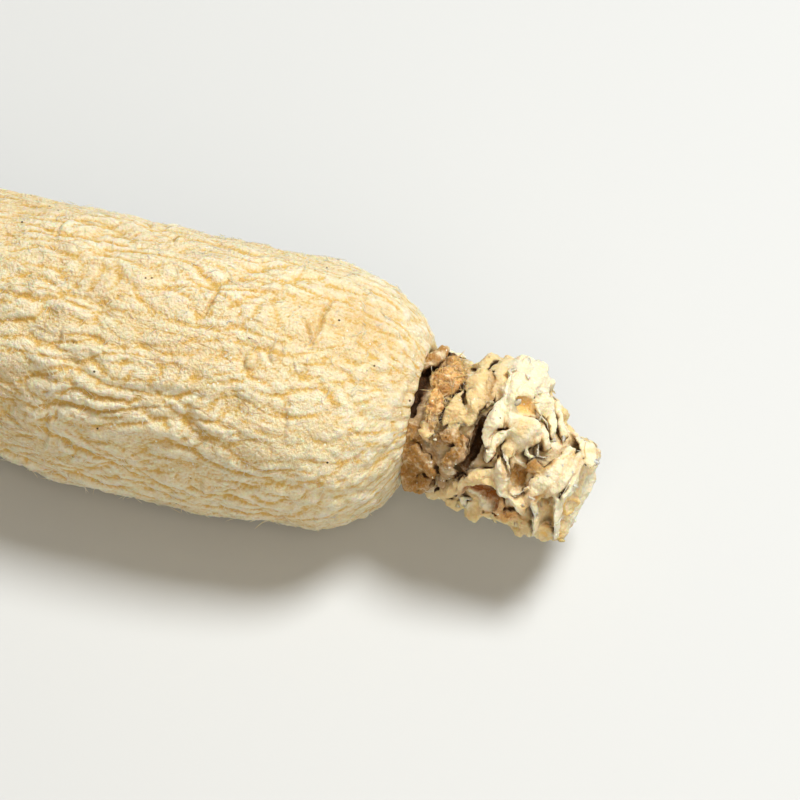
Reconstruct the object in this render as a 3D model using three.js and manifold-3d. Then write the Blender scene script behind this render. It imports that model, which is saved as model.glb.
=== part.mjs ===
// A dried ginseng root lying on its side: a wrinkled spindle with a knobbly crown and a trimmed, forked tail.
// Millimetres, +Z up. +X points to the crown. The origin is on the resting flat, under the root's weight.
import * as THREE from "three";
import { mergeVertices } from "three/addons/utils/BufferGeometryUtils.js";
import Module from "manifold-3d";

// Main root
const ROOT_LENGTH = 80; // from the shoulder under the crown to the trimmed tail
const ROOT_RADIUS = 11.6; // at the widest ring
const WIDEST_AT = 18; // distance of the widest ring from the shoulder
const SHOULDER_POWER = 2.6; // superellipse of the shoulder, 2 would be round
const TAIL_SHARE = 0.28; // radius of the trimmed tail, as a share of ROOT_RADIUS
const TAPER_POWER = 2.1; // how late the taper sets in
const BOW = 1.45; // sideways swing of the axis, a gentle S
const BOW_HALF_WAVE = 41;
const ORIGIN_AT = 36; // distance of the origin from the shoulder
const PRESSED = 0.45; // depth of the flat on which the root dried
const TAIL_LIFT = 1.4; // the tail curls up by this much
const TAIL_LIFT_FROM = 55;

// Wrinkled skin
const FURROW_ACROSS = 3.0; // spacing of the furrows round the root
const FURROW_ALONG = 11; // their length along the root
const FURROW_DEPTH = 1.7;
const FURROW_FLOOR = 0.08; // softening of the furrow's floor
const FURROW_MEAN = 0.25; // taken off so that the skin keeps the root's radius
const BULGE = 1.8; // the shoulder bulges out more on one side
const BULGE_AT = 4;
const BULGE_ANGLE = 217;
const DENT_SPACING = 14; // slow swells and dents of the whole body
const DENT_DEPTH = 0.5;
const SWAY_SPACING = 9; // sideways wander of the furrows
const SWAY = 2.2;

// Side leg, forked off the tail
const LEG_PATH = [
  [-48, 0, 7.6],
  [-58, -4.2, 6.2],
  [-68, -7.4, 5.0],
  [-77, -9.0, 4.6],
];
const LEG_RADIUS = 5.6;
const LEG_TIP_RADIUS = 2.1;
const LEG_RELIEF = 0.5; // share of the main root's relief

// Crown: its axis leaves the shoulder forwards, a little sideways and down
const CROWN_DIRECTION = new THREE.Vector3(13.1, -2.6, -1.5).normalize();
const CROWN_FRONT = new THREE.Vector3(0.15, -0.57, 0.81); // the side that is angle 0
const CROWN_DROP = 1.2; // the crown sits this much off the shoulder's centre
const CROWN_LENGTH = 13.6;
const CROWN_SWING = 1.5; // sideways bulge of its axis, at CROWN_SWING_AT
const CROWN_SWING_AT = 5.8;
const CROWN_SWING_SPAN = 3.4;
const NECK_RADIUS = 5.4;
const CROWN_RADIUS = 6.5; // at CROWN_SWING_AT
const CROWN_END_RADIUS = 4.0;
const CORE_SHARE = 0.74; // the solid core under the folds
const NECK_DEPTH = 6; // how far the core is sunk in the main root
const SCAR_DEPTH = 1; // the scar at its end lies this deep between the scales

// Folds of the crown as [along, angle in degrees] points, with each fold's half thickness.
const FOLDS = [
  { half: 1.3, path: [[0.3, 62], [1.4, 50]] },
  { half: 0.8, path: [[0.9, 26], [1.3, 8]] },
  { half: 0.7, path: [[2.6, 28], [2.8, 14], [2.6, 2]] },
  { half: 0.8, path: [[2.8, 66], [3.7, 28], [4.2, 9], [4.5, -1]] },
  { half: 1.0, path: [[1.0, 86], [2.4, 84], [3.6, 86]] },
  { half: 1.1, path: [[1.3, -10], [2.6, -8]] },
  { half: 1.1, path: [[1.7, -36], [2.7, -56]] },
  { half: 0.8, path: [[4.4, -16], [4.2, -36], [3.9, -60]] },
  { half: 2.2, path: [[4.9, 58], [6.2, 46], [7.4, 52]] },
  { half: 1.6, path: [[5.4, 84], [7.2, 80]] },
  { half: 0.8, path: [[5.6, 22], [6.1, 2]] },
  { half: 1.0, path: [[8.2, 58], [9.7, 66], [10.8, 62]] },
  { half: 0.7, path: [[3.9, -76], [5.5, -42], [7.0, -26], [8.3, -21]] },
  { half: 0.7, path: [[7.4, 8], [7.0, -9], [6.9, -20]] },
  { half: 1.1, path: [[5.9, -84], [7.2, -78], [8.5, -70]] },
  { half: 0.9, path: [[8.4, -28], [9.5, -35], [10.8, -44]] },
  { half: 0.9, path: [[9.8, 2], [10.9, 6], [11.8, 24]] },
  { half: 1.1, path: [[10.4, -66], [12.0, -80]] },
];
const BACK_RINGS = [1.3, 4.0, 7.0, 10.0, 12.0]; // yearly rings on the far side
const BACK_FROM = 108; // angles between which the knobs of a ring stand
const BACK_TO = 258;
const BACK_KNOBS = 3;
const KNOB_HALF = 1.9;
const KNOB_REACH = 0.55; // half its length along the crown
const KNOB_TURN = 11; // half its length round the crown, in degrees
const KNOB_VARIES = 0.45;
const SINK = 0.55; // share of a fold's half thickness that is sunk in the crown

// Stem scars and hollows of the crown: [along, angle, radius, lift of the cutting ball].
const HOLLOWS = [
  [7.9, 32, 0.9, 0.9],
  [7.2, -48, 1.1, 0.5],
  [9.7, -12, 1.2, 0.2],
  [5.3, -8, 0.9, 0.0],
  [4.5, 168, 1.3, 0.9],
  [9.3, 208, 1.2, 0.9],
];

// Dry scales round the scar at the crown's end: [angle, half width in degrees, length].
const SCALES = [
  [-72, 34, 3.4],
  [-8, 30, 2.0],
  [48, 36, 2.4],
  [128, 40, 2.2],
  [216, 42, 2.6],
];
const SCALE_THICKNESS = 0.7;
const SCALE_BASE_AT = 11.0;
const SCALE_POINT = 0.45; // how far its corners are rounded back
const SCALE_FLARE = 0.6; // share of the crown's taper that the scale doesn't follow
const SCALE_SPREAD = 0.3; // how far its rim leans out

// Mesh density
const ROOT_SIDES = 76;
const SHOULDER_ROWS = 9;
const TAIL_ROWS = 33;
const LEG_SIDES = 16;
const LEG_ROWS = 11;
const FOLD_SIDES = 6;
const FOLD_ROWS = 1; // on top of one row for each point of its path
const FOLD_TIP = 0.35; // blunt tip of a fold, as a share of its thickness
const CORE_SIDES = 14;
const CORE_ROWS = 7;
const SCALE_COLUMNS = 6;
const SCALE_ROWS = 2;

const wasm = await Module();
wasm.setup();

// Gradient noise on a unit lattice, about -1 to 1, the same on every run
function latticeHash(x, y, z) {
  let h = Math.imul(x, 374761393) ^ Math.imul(y, 668265263) ^ Math.imul(z, 1440662683);
  h = Math.imul(h ^ (h >>> 13), 1274126177);
  return (h ^ (h >>> 16)) & 15;
}

function slope(corner, x, y, z) {
  const a = corner < 8 ? x : y;
  const b = corner < 4 ? y : corner === 12 || corner === 14 ? x : z;
  return (corner & 1 ? -a : a) + (corner & 2 ? -b : b);
}

function noise(x, y, z) {
  const cell = [x, y, z].map(Math.floor);
  const [fx, fy, fz] = [x - cell[0], y - cell[1], z - cell[2]];
  const [u, v, w] = [fx, fy, fz].map((t) => t * t * t * (t * (t * 6 - 15) + 10));
  let sum = 0;
  for (let corner = 0; corner < 8; corner++) {
    const [i, j, k] = [corner & 1, (corner >> 1) & 1, corner >> 2];
    const weight = (i ? u : 1 - u) * (j ? v : 1 - v) * (k ? w : 1 - w);
    const turned = latticeHash(cell[0] + i, cell[1] + j, cell[2] + k);
    sum += weight * slope(turned, fx - i, fy - j, fz - k);
  }
  return sum;
}

const { clamp, smoothstep, degToRad, lerp } = THREE.MathUtils;

// A closed skin over the rows of a profile, from pole to pole: place(row, angle) gives each point.
function skin(rows, sides, place) {
  const geometry = new THREE.SphereGeometry(1, sides, rows);
  const position = geometry.getAttribute("position");
  for (let row = 0; row <= rows; row++) {
    for (let side = 0; side <= sides; side++) {
      const p = place(row, (2 * Math.PI * (side % sides)) / sides);
      position.setXYZ(row * (sides + 1) + side, p.x, p.y, p.z);
    }
  }
  return geometry;
}

function solidOf(geometry) {
  geometry.deleteAttribute("normal");
  geometry.deleteAttribute("uv");
  const merged = mergeVertices(geometry, 1e-4);
  const mesh = new wasm.Mesh({
    numProp: 3,
    vertProperties: new Float32Array(merged.getAttribute("position").array),
    triVerts: new Uint32Array(merged.index.array),
  });
  const solid = new wasm.Manifold(mesh);
  return solid.volume() < 0 ? solidOf(turnedOut(merged)) : solid;
}

// The same skin with its faces turned over, for a limb whose frame is left-handed
function turnedOut(geometry) {
  const index = geometry.index.array;
  for (let i = 0; i < index.length; i += 3) {
    [index[i + 1], index[i + 2]] = [index[i + 2], index[i + 1]];
  }
  return geometry;
}

// Main root: radius and axis at a distance from the shoulder
function rootRadius(along) {
  if (along < WIDEST_AT) {
    const share = 1 - along / WIDEST_AT;
    return ROOT_RADIUS * (1 - share ** SHOULDER_POWER) ** (1 / SHOULDER_POWER);
  }
  const share = (along - WIDEST_AT) / (ROOT_LENGTH - WIDEST_AT);
  return ROOT_RADIUS * (1 - (1 - TAIL_SHARE) * share ** TAPER_POWER);
}

function rootAxis(along) {
  const bellied = rootRadius(Math.max(along, WIDEST_AT));
  const lift = TAIL_LIFT * smoothstep(along, TAIL_LIFT_FROM, ROOT_LENGTH);
  return new THREE.Vector3(
    ORIGIN_AT - along,
    -BOW * Math.sin((Math.PI * along) / BOW_HALF_WAVE),
    bellied - PRESSED + lift,
  );
}

// Height of the skin over the plain body of revolution
function relief(along, angle) {
  const y = ROOT_RADIUS * Math.cos(angle);
  const z = ROOT_RADIUS * Math.sin(angle);
  const sway = SWAY * noise(along / SWAY_SPACING, y / SWAY_SPACING, z / SWAY_SPACING + 40);
  const fold = noise(
    along / FURROW_ALONG,
    (y + sway) / FURROW_ACROSS,
    (z + sway) / FURROW_ACROSS,
  );
  const plump = Math.sqrt(fold * fold + FURROW_FLOOR ** 2) - FURROW_MEAN;
  const swell = noise(along / DENT_SPACING + 9, y / DENT_SPACING, z / DENT_SPACING);
  const facing = Math.max(0, Math.cos(angle - degToRad(BULGE_ANGLE)));
  const bulge = BULGE * facing * Math.exp(-(((along - BULGE_AT) / BULGE_AT) ** 2));
  return FURROW_DEPTH * plump + DENT_DEPTH * swell + bulge;
}

function mainRoot() {
  const profile = [];
  for (let row = 0; row <= SHOULDER_ROWS; row++) {
    const turn = (Math.PI / 2) * (row / SHOULDER_ROWS);
    profile.push(WIDEST_AT * (1 - Math.cos(turn) ** (2 / SHOULDER_POWER)));
  }
  for (let row = 1; row <= TAIL_ROWS; row++) {
    profile.push(lerp(WIDEST_AT, ROOT_LENGTH, row / TAIL_ROWS));
  }
  const rows = profile.length;
  return skin(rows, ROOT_SIDES, (row, angle) => {
    const cut = row === rows;
    const along = cut ? ROOT_LENGTH : profile[row];
    const plain = cut ? 0 : rootRadius(along);
    const radius = plain + relief(along, angle) * clamp(plain / ROOT_RADIUS, 0, 1);
    const p = rootAxis(along);
    p.y += radius * Math.cos(angle);
    p.z = Math.max(0, p.z + radius * Math.sin(angle));
    return p;
  });
}

// A round limb along a curve, its radius given by the share of the way along. Its ends are flat.
function limb(curve, radiusAt, sides, rows) {
  const frames = curve.computeFrenetFrames(rows, false);
  return skin(rows + 2, sides, (row, angle) => {
    const at = clamp(row - 1, 0, rows);
    const pole = row === 0 || row === rows + 2;
    const radius = pole ? 0 : radiusAt(at / rows, angle);
    return curve
      .getPointAt(at / rows)
      .addScaledVector(frames.normals[at], radius * Math.cos(angle))
      .addScaledVector(frames.binormals[at], radius * Math.sin(angle));
  });
}

function sideLeg() {
  const path = LEG_PATH.map(([x, y, z]) => new THREE.Vector3(x + ORIGIN_AT, y, z));
  const curve = new THREE.CatmullRomCurve3(path);
  return limb(
    curve,
    (share, angle) => {
      const plain = lerp(LEG_RADIUS, LEG_TIP_RADIUS, share);
      return plain + LEG_RELIEF * relief(ROOT_LENGTH * share, angle);
    },
    LEG_SIDES,
    LEG_ROWS,
  );
}

// Crown: centre line, outline radius and a point at [along, angle], lifted off the outline
const SHOULDER_CENTRE = rootAxis(0);
const FRONT = CROWN_FRONT.clone()
  .addScaledVector(CROWN_DIRECTION, -CROWN_FRONT.dot(CROWN_DIRECTION))
  .normalize();
const SIDE = new THREE.Vector3().crossVectors(FRONT, CROWN_DIRECTION);

function crownCentre(along) {
  const swing = CROWN_SWING * Math.exp(-(((along - CROWN_SWING_AT) / CROWN_SWING_SPAN) ** 2));
  return SHOULDER_CENTRE.clone()
    .addScaledVector(CROWN_DIRECTION, along)
    .addScaledVector(SIDE, swing - CROWN_DROP);
}

function crownRadius(along) {
  return along < CROWN_SWING_AT
    ? lerp(NECK_RADIUS, CROWN_RADIUS, smoothstep(along, 0, CROWN_SWING_AT))
    : lerp(CROWN_RADIUS, CROWN_END_RADIUS, smoothstep(along, CROWN_SWING_AT, CROWN_LENGTH));
}

function crownPoint(along, degrees, lift) {
  const angle = degToRad(degrees);
  const radius = crownRadius(along) + lift;
  return crownCentre(along)
    .addScaledVector(FRONT, radius * Math.cos(angle))
    .addScaledVector(SIDE, radius * Math.sin(angle));
}

function crownCore() {
  return skin(CORE_ROWS, CORE_SIDES, (row, angle) => {
    const share = clamp((row - 1) / (CORE_ROWS - 2), 0, 1);
    const along = lerp(-NECK_DEPTH, CROWN_LENGTH - SCAR_DEPTH, share);
    const pole = row === 0 || row === CORE_ROWS;
    const radius = pole ? 0 : CORE_SHARE * crownRadius(Math.max(0, along));
    return crownCentre(along)
      .addScaledVector(FRONT, radius * Math.cos(angle))
      .addScaledVector(SIDE, radius * Math.sin(angle));
  });
}

function fold(path, half) {
  const curve = new THREE.CatmullRomCurve3(
    path.map(([along, degrees]) => crownPoint(along, degrees, -SINK * half)),
  );
  const span = curve.getLength();
  const plump = (share) => FOLD_TIP + (1 - FOLD_TIP) * Math.sqrt(1 - Math.abs(2 * share - 1) ** 4);
  const stretched = new THREE.CatmullRomCurve3(
    [-half / span, 0.25, 0.5, 0.75, 1 + half / span].map((share) => {
      const inside = clamp(share, 0, 1);
      const tangent = curve.getTangentAt(inside);
      return curve.getPointAt(inside).addScaledVector(tangent, (share - inside) * span);
    }),
  );
  return limb(stretched, (share) => half * plump(share), FOLD_SIDES, path.length + FOLD_ROWS);
}

// Short knobs in rings on the far side, each ring half a step round from the last
function backKnobs() {
  const step = (BACK_TO - BACK_FROM) / (BACK_KNOBS - 0.5);
  const knobs = [];
  BACK_RINGS.forEach((along, ring) => {
    for (let k = 0; k < BACK_KNOBS; k++) {
      const vary = noise(ring + 0.4, k + 0.6, 0.5);
      const degrees = BACK_FROM + step * (k + 0.5 * (ring % 2));
      const start = [along - KNOB_REACH + vary, degrees - KNOB_TURN];
      const end = [along + KNOB_REACH - vary, degrees + KNOB_TURN];
      knobs.push(fold([start, end], KNOB_HALF * (1 + KNOB_VARIES * vary)));
    }
  });
  return knobs;
}

// A curved dry scale that stands off the crown's end like part of a cup
function scale(middle, halfWidth, length) {
  const sheet = new THREE.BoxGeometry(2, 1, 1, SCALE_COLUMNS, SCALE_ROWS, 1);
  const position = sheet.getAttribute("position");
  for (let i = 0; i < position.count; i++) {
    const across = position.getX(i);
    const up = position.getY(i) + 0.5;
    const along = SCALE_BASE_AT + length * up * (1 - SCALE_POINT * across * across);
    const flare = SCALE_FLARE * (crownRadius(SCALE_BASE_AT) - crownRadius(along));
    const lift = flare + SCALE_SPREAD * up + SCALE_THICKNESS * (position.getZ(i) - 0.5);
    const p = crownPoint(along, middle + halfWidth * across, lift);
    position.setXYZ(i, p.x, p.y, p.z);
  }
  return sheet;
}

function hollow([along, degrees, radius, lift]) {
  const ball = new THREE.IcosahedronGeometry(radius, 1);
  const p = crownPoint(along, degrees, lift - radius);
  return ball.translate(p.x, p.y, p.z);
}

function wholeRoot() {
  const crown = [
    crownCore(),
    ...FOLDS.map(({ path, half }) => fold(path, half)),
    ...backKnobs(),
    ...SCALES.map((row) => scale(...row)),
  ]
    .map(solidOf)
    .reduce((sum, piece) => sum.add(piece));
  const scarred = HOLLOWS.map(hollow)
    .map(solidOf)
    .reduce((left, ball) => left.subtract(ball), crown);
  const grown = solidOf(mainRoot()).add(solidOf(sideLeg())).add(scarred);
  return outerShell(grown);
}

// The folds close over small pockets, which are filled: only the outer shell is kept.
function outerShell(solid) {
  const shells = solid.decompose();
  return shells.reduce((most, shell) => (shell.volume() > most.volume() ? shell : most));
}

function geometryOf(solid) {
  const { vertProperties, triVerts } = solid.getMesh();
  return new THREE.BufferGeometry()
    .setAttribute("position", new THREE.BufferAttribute(vertProperties, 3))
    .setIndex(new THREE.BufferAttribute(triVerts, 1));
}

const driedSkin = new THREE.MeshStandardMaterial({
  color: new THREE.Color(0.9, 0.8, 0.58),
  roughness: 0.75,
  metalness: 0,
});

const root = new THREE.Mesh(geometryOf(wholeRoot()), driedSkin);
root.name = "ginseng_root";

const part = new THREE.Group();
part.add(root);

export default part;
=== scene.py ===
import math

import bpy
import numpy as np
from mathutils import Matrix, Vector


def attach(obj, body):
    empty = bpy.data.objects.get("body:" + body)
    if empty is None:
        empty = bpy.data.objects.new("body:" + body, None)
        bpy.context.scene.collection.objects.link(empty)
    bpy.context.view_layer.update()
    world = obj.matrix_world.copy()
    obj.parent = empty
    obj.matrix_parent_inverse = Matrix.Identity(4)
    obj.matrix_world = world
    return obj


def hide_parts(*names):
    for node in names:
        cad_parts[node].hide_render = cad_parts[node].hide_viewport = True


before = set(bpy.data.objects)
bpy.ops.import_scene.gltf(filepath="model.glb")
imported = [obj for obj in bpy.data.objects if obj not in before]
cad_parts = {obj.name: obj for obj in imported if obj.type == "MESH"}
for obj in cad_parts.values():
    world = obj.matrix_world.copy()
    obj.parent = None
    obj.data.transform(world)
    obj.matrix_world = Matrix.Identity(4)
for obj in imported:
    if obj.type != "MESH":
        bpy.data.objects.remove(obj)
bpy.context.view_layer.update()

MM = 0.001
FAR = 9.0  # more than any distance that is compared
NODE = "ginseng_root"

# Main root, the same driving dimensions as the solid, in millimetres
ROOT_LENGTH = 80.0
ROOT_RADIUS = 11.6
WIDEST_AT = 18.0
SHOULDER_POWER = 2.6
TAIL_SHARE = 0.28
TAPER_POWER = 2.1
BOW = 1.45
BOW_HALF_WAVE = 41.0
ORIGIN_AT = 36.0
PRESSED = 0.45
TAIL_LIFT = 1.4
TAIL_LIFT_FROM = 55.0

# Coarse furrows, the same as on the solid
FURROW_ACROSS = 3.0
FURROW_ALONG = 11.0
FURROW_DEPTH = 1.7
FURROW_FLOOR = 0.08
FURROW_MEAN = 0.25
BULGE = 1.8
BULGE_AT = 4.0
BULGE_ANGLE = math.radians(217)
DENT_SPACING = 14.0
DENT_DEPTH = 0.5
SWAY_SPACING = 9.0
SWAY = 2.2
COARSE_SHARE = 0.45  # how much of the furrows is kept under the finer wrinkles

# Fine skin: meshes
COLUMNS = 540
ROW_STEP = 0.13
TAIL_ROW_STEP = 0.3
SEAMS_AT = (14.0, 36.0)

# Crown frame, the same as on the solid
CROWN_DIRECTION = np.array([13.1, -2.6, -1.5])
CROWN_FRONT = np.array([0.15, -0.57, 0.81])
CROWN_DROP = 1.2
CROWN_LENGTH = 13.6
CROWN_SWING = 1.5
CROWN_SWING_AT = 5.8
CROWN_SWING_SPAN = 3.4
NECK_RADIUS = 5.4
CROWN_RADIUS = 6.5
CROWN_END_RADIUS = 4.0
FULL_CORE = 0.92  # the flesh under the folds, which also fills between them

# Tones of the crown, over the cream of the skin
TONES = {
    "tan": (0.85, 0.66, 0.34),
    "grey": (0.43, 0.23, 0.065),
    "amber": (0.84, 0.50, 0.19),
    "umber": (0.24, 0.095, 0.02),
    "rust": (0.42, 0.14, 0.015),
    "gold": (0.88, 0.58, 0.19),
    "white": (0.96, 0.88, 0.65),
}


def smoothstep(x, low, high):
    t = np.clip((x - low) / (high - low), 0, 1)
    return t * t * (3 - 2 * t)


def unit(vectors):
    return vectors / np.maximum(np.linalg.norm(vectors, axis=-1, keepdims=True), 1e-9)


# Gradient noise on a unit lattice, the same as in the solid
CORNERS = [(i, j, k) for i in (0, 1) for j in (0, 1) for k in (0, 1)]
NEIGHBOURS = [(i, j, k) for i in (-1, 0, 1) for j in (-1, 0, 1) for k in (-1, 0, 1)]
HASH_TOP = 15


def lattice_hash(x, y, z):
    x, y, z = (np.asarray(v).astype(np.int64).astype(np.uint32) for v in (x, y, z))
    h = x * np.uint32(374761393) ^ y * np.uint32(668265263) ^ z * np.uint32(1440662683)
    h = (h ^ (h >> np.uint32(13))) * np.uint32(1274126177)
    return (h ^ (h >> np.uint32(16))) & np.uint32(HASH_TOP)


def slope(corner, x, y, z):
    a = np.where(corner < 8, x, y)
    b = np.where(corner < 4, y, np.where((corner == 12) | (corner == 14), x, z))
    return np.where(corner & 1, -a, a) + np.where(corner & 2, -b, b)


def noise(x, y, z):
    x, y, z = np.broadcast_arrays(x, y, z)
    cx, cy, cz = np.floor(x), np.floor(y), np.floor(z)
    fx, fy, fz = x - cx, y - cy, z - cz
    u, v, w = (t * t * t * (t * (t * 6 - 15) + 10) for t in (fx, fy, fz))
    total = np.zeros(x.shape)
    for i, j, k in CORNERS:
        weight = (u if i else 1 - u) * (v if j else 1 - v) * (w if k else 1 - w)
        turned = lattice_hash(cx + i, cy + j, cz + k)
        total += weight * slope(turned, fx - i, fy - j, fz - k)
    return total


CHIP_SEEDS = (0, 101, 211, 307)  # three for the place of a cell's middle and one for its height
CHIP_EDGE = 0.2


def chips(x, y, z):
    """One height for each irregular cell of about unit size, from -1 to 1, falling to 0 at its edges."""
    cx, cy, cz = np.floor(x), np.floor(y), np.floor(z)
    nearest = np.full(x.shape, FAR)
    second = np.full(x.shape, FAR)
    height = np.zeros(x.shape)
    for i, j, k in NEIGHBOURS:
        cell = (cx + i, cy + j, cz + k)
        seed = [lattice_hash(cell[0] + s, cell[1], cell[2]) / HASH_TOP for s in CHIP_SEEDS]
        gap = [c + s - v for c, s, v in zip(cell, seed, (x, y, z))]
        distance = np.sqrt(gap[0] ** 2 + gap[1] ** 2 + gap[2] ** 2)
        closer = distance < nearest
        second = np.where(closer, nearest, np.minimum(second, distance))
        nearest = np.where(closer, distance, nearest)
        height = np.where(closer, 2 * seed[3] - 1, height)
    return height * smoothstep(second - nearest, 0, CHIP_EDGE)


# Main root: profile, axis and coarse relief
def root_radius(along):
    near = np.clip(1 - along / WIDEST_AT, 0, 1)
    far = np.clip((along - WIDEST_AT) / (ROOT_LENGTH - WIDEST_AT), 0, 1)
    shoulder = (1 - near**SHOULDER_POWER) ** (1 / SHOULDER_POWER)
    taper = 1 - (1 - TAIL_SHARE) * far**TAPER_POWER
    return ROOT_RADIUS * np.where(along < WIDEST_AT, shoulder, taper)


def root_axis(along):
    bellied = root_radius(np.maximum(along, WIDEST_AT))
    lift = TAIL_LIFT * smoothstep(along, TAIL_LIFT_FROM, ROOT_LENGTH)
    y = -BOW * np.sin(math.pi * along / BOW_HALF_WAVE)
    return np.stack([ORIGIN_AT - along, y, bellied - PRESSED + lift], -1)


def coarse_relief(along, angle):
    y = ROOT_RADIUS * np.cos(angle)
    z = ROOT_RADIUS * np.sin(angle)
    sway = SWAY * noise(along / SWAY_SPACING, y / SWAY_SPACING, z / SWAY_SPACING + 40)
    fold = noise(along / FURROW_ALONG, (y + sway) / FURROW_ACROSS, (z + sway) / FURROW_ACROSS)
    plump = np.sqrt(fold * fold + FURROW_FLOOR**2) - FURROW_MEAN
    swell = noise(along / DENT_SPACING + 9, y / DENT_SPACING, z / DENT_SPACING)
    facing = np.maximum(0, np.cos(angle - BULGE_ANGLE))
    bulge = BULGE * facing * np.exp(-(((along - BULGE_AT) / BULGE_AT) ** 2))
    return COARSE_SHARE * FURROW_DEPTH * plump + DENT_DEPTH * swell + bulge


# Fine wrinkles: fields on the unrolled skin, rows along the root by columns round it
WRINKLE_STEP = 0.13
WRINKLE_ROWS = 720
COLUMN_STEP = 2 * math.pi * ROOT_RADIUS / COLUMNS
CALM_ANGLE = math.radians(70)  # the skin is smoothest on this side
CALM_SHARE = 0.3
UNEVEN = 0.25  # how much the wrinkles vary in strength from place to place
RELIEF = {"furrows": 0.24, "folds": 0.21, "plumps": 0.42, "puckers": 0.16, "lumps": 0.02}
GRAIN_RELIEF = 0.025
VALLEY_REACH = 0.3
VALLEY_DEPTH = 0.055
FREQ_ALONG = np.fft.fftfreq(WRINKLE_ROWS, WRINKLE_STEP)[:, None]
FREQ_ACROSS = np.fft.rfftfreq(COLUMNS, COLUMN_STEP)[None, :]


def rough_field(seed, across, along, band, slant=0.0):
    """Random swells of about these spacings, with mean 0 and spread 1."""
    grain = np.random.default_rng(seed).standard_normal((WRINKLE_ROWS, COLUMNS))
    ratio = np.hypot(FREQ_ACROSS * across, (FREQ_ALONG + slant * FREQ_ACROSS) * along)
    kept = np.exp(-(((ratio - 1) / band) ** 2))
    kept[0, 0] = 0
    field = np.fft.irfft2(np.fft.rfft2(grain) * kept, grain.shape)
    return field / field.std()


def buckled_field(seed, wave, stretch, slant, skew, steps):
    """Wrinkles of a shrinking skin, grown from random dents, with mean 0 and spread 1."""
    field = 0.3 * np.random.default_rng(seed).standard_normal((WRINKLE_ROWS, COLUMNS))
    ratio = wave**2 * (FREQ_ACROSS**2 + ((FREQ_ALONG + slant * FREQ_ACROSS) * stretch) ** 2)
    growth = 0.3 - (ratio - 1) ** 2
    pace = 0.5
    for _ in range(steps):
        pushed = np.fft.rfft2(field) + pace * np.fft.rfft2(skew * field**2 - field**3)
        field = np.fft.irfft2(pushed / (1 - pace * growth), field.shape)
    return (field - field.mean()) / field.std()


def shifted(field, along, across):
    """The field with its points moved by these millimetres."""
    row, column = np.indices(field.shape)
    row = row + along / WRINKLE_STEP
    column = column + across / COLUMN_STEP
    r0, c0 = np.floor(row).astype(int), np.floor(column).astype(int)
    r, c = row - r0, column - c0
    total = 0
    for i, wr in ((0, 1 - r), (1, r)):
        for j, wc in ((0, 1 - c), (1, c)):
            total = total + wr * wc * field[(r0 + i) % WRINKLE_ROWS, (c0 + j) % COLUMNS]
    return total


def pillows(field, power):
    """Broad plump tops and narrow valleys."""
    height = 1 - (1 - np.clip((field + 1.8) / 4, 0, 1)) ** power
    return height - height.mean()


def creases(field, power, floor):
    """Plump on both sides of narrow lines, where the field crosses zero."""
    height = np.minimum(np.sqrt(field**2 + floor**2), 1.6) ** power
    return height - height.mean()


def smoothed(field, reach):
    kept = np.exp(-2 * (math.pi * reach) ** 2 * (FREQ_ALONG**2 + FREQ_ACROSS**2))
    return np.fft.irfft2(np.fft.rfft2(field) * kept, field.shape)


def fine_relief():
    along = 0.5 * rough_field(21, across=9, along=14, band=0.5)
    across = 0.3 * rough_field(22, across=5, along=8, band=0.5)
    furrow = rough_field(1, across=5.0, along=18, band=0.4, slant=0.05)
    fold = buckled_field(4, wave=2.5, stretch=3.0, slant=0.05, skew=0.2, steps=40)
    plump = buckled_field(9, wave=2.1, stretch=1.8, slant=0.08, skew=0.8, steps=40)
    pucker = buckled_field(12, wave=0.95, stretch=1.7, slant=0.05, skew=0.6, steps=30)
    lump = rough_field(6, across=0.8, along=1.0, band=0.4)
    layers = {
        "furrows": creases(shifted(furrow, along, across), power=0.5, floor=0.03),
        "folds": creases(shifted(fold, along, across), power=0.6, floor=0.03),
        "plumps": pillows(shifted(plump, along, across), power=4.0),
        "puckers": pillows(shifted(pucker, along, across), power=3.0),
        "lumps": shifted(lump, along, across),
    }
    turn = 2 * np.pi * np.arange(COLUMNS) / COLUMNS
    calm = 1.0 - CALM_SHARE * np.cos(turn - CALM_ANGLE)
    vary = rough_field(30, across=9, along=16, band=0.6)
    strength = calm * np.clip(0.95 + UNEVEN * vary, 0.5, 1.4)
    relief = sum(depth * layers[key] for key, depth in RELIEF.items())
    return strength * relief + GRAIN_RELIEF * rough_field(3, across=0.36, along=0.4, band=0.4)


FINE = fine_relief()
VALLEY = smoothed(FINE, VALLEY_REACH) - FINE


def sampled(field, arc):
    row = np.clip(arc / WRINKLE_STEP, 0, WRINKLE_ROWS - 2)
    low = np.floor(row).astype(int)
    part = (row - low)[:, None]
    return field[low] * (1 - part) + field[low + 1] * part


# Profile by arc length, from the pole under the crown to the trimmed tail
def profile_table():
    turn = np.linspace(0, math.pi / 2, 4000)
    near = WIDEST_AT * (1 - np.cos(turn) ** (2 / SHOULDER_POWER))
    far = np.linspace(WIDEST_AT, ROOT_LENGTH, 4000)[1:]
    along = np.concatenate([near, far])
    radius = np.concatenate([ROOT_RADIUS * np.sin(turn) ** (2 / SHOULDER_POWER), root_radius(far)])
    arc = np.concatenate([[0], np.cumsum(np.hypot(np.diff(along), np.diff(radius)))])
    return arc, along, radius


ARC, ALONG, RADIUS = profile_table()


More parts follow.
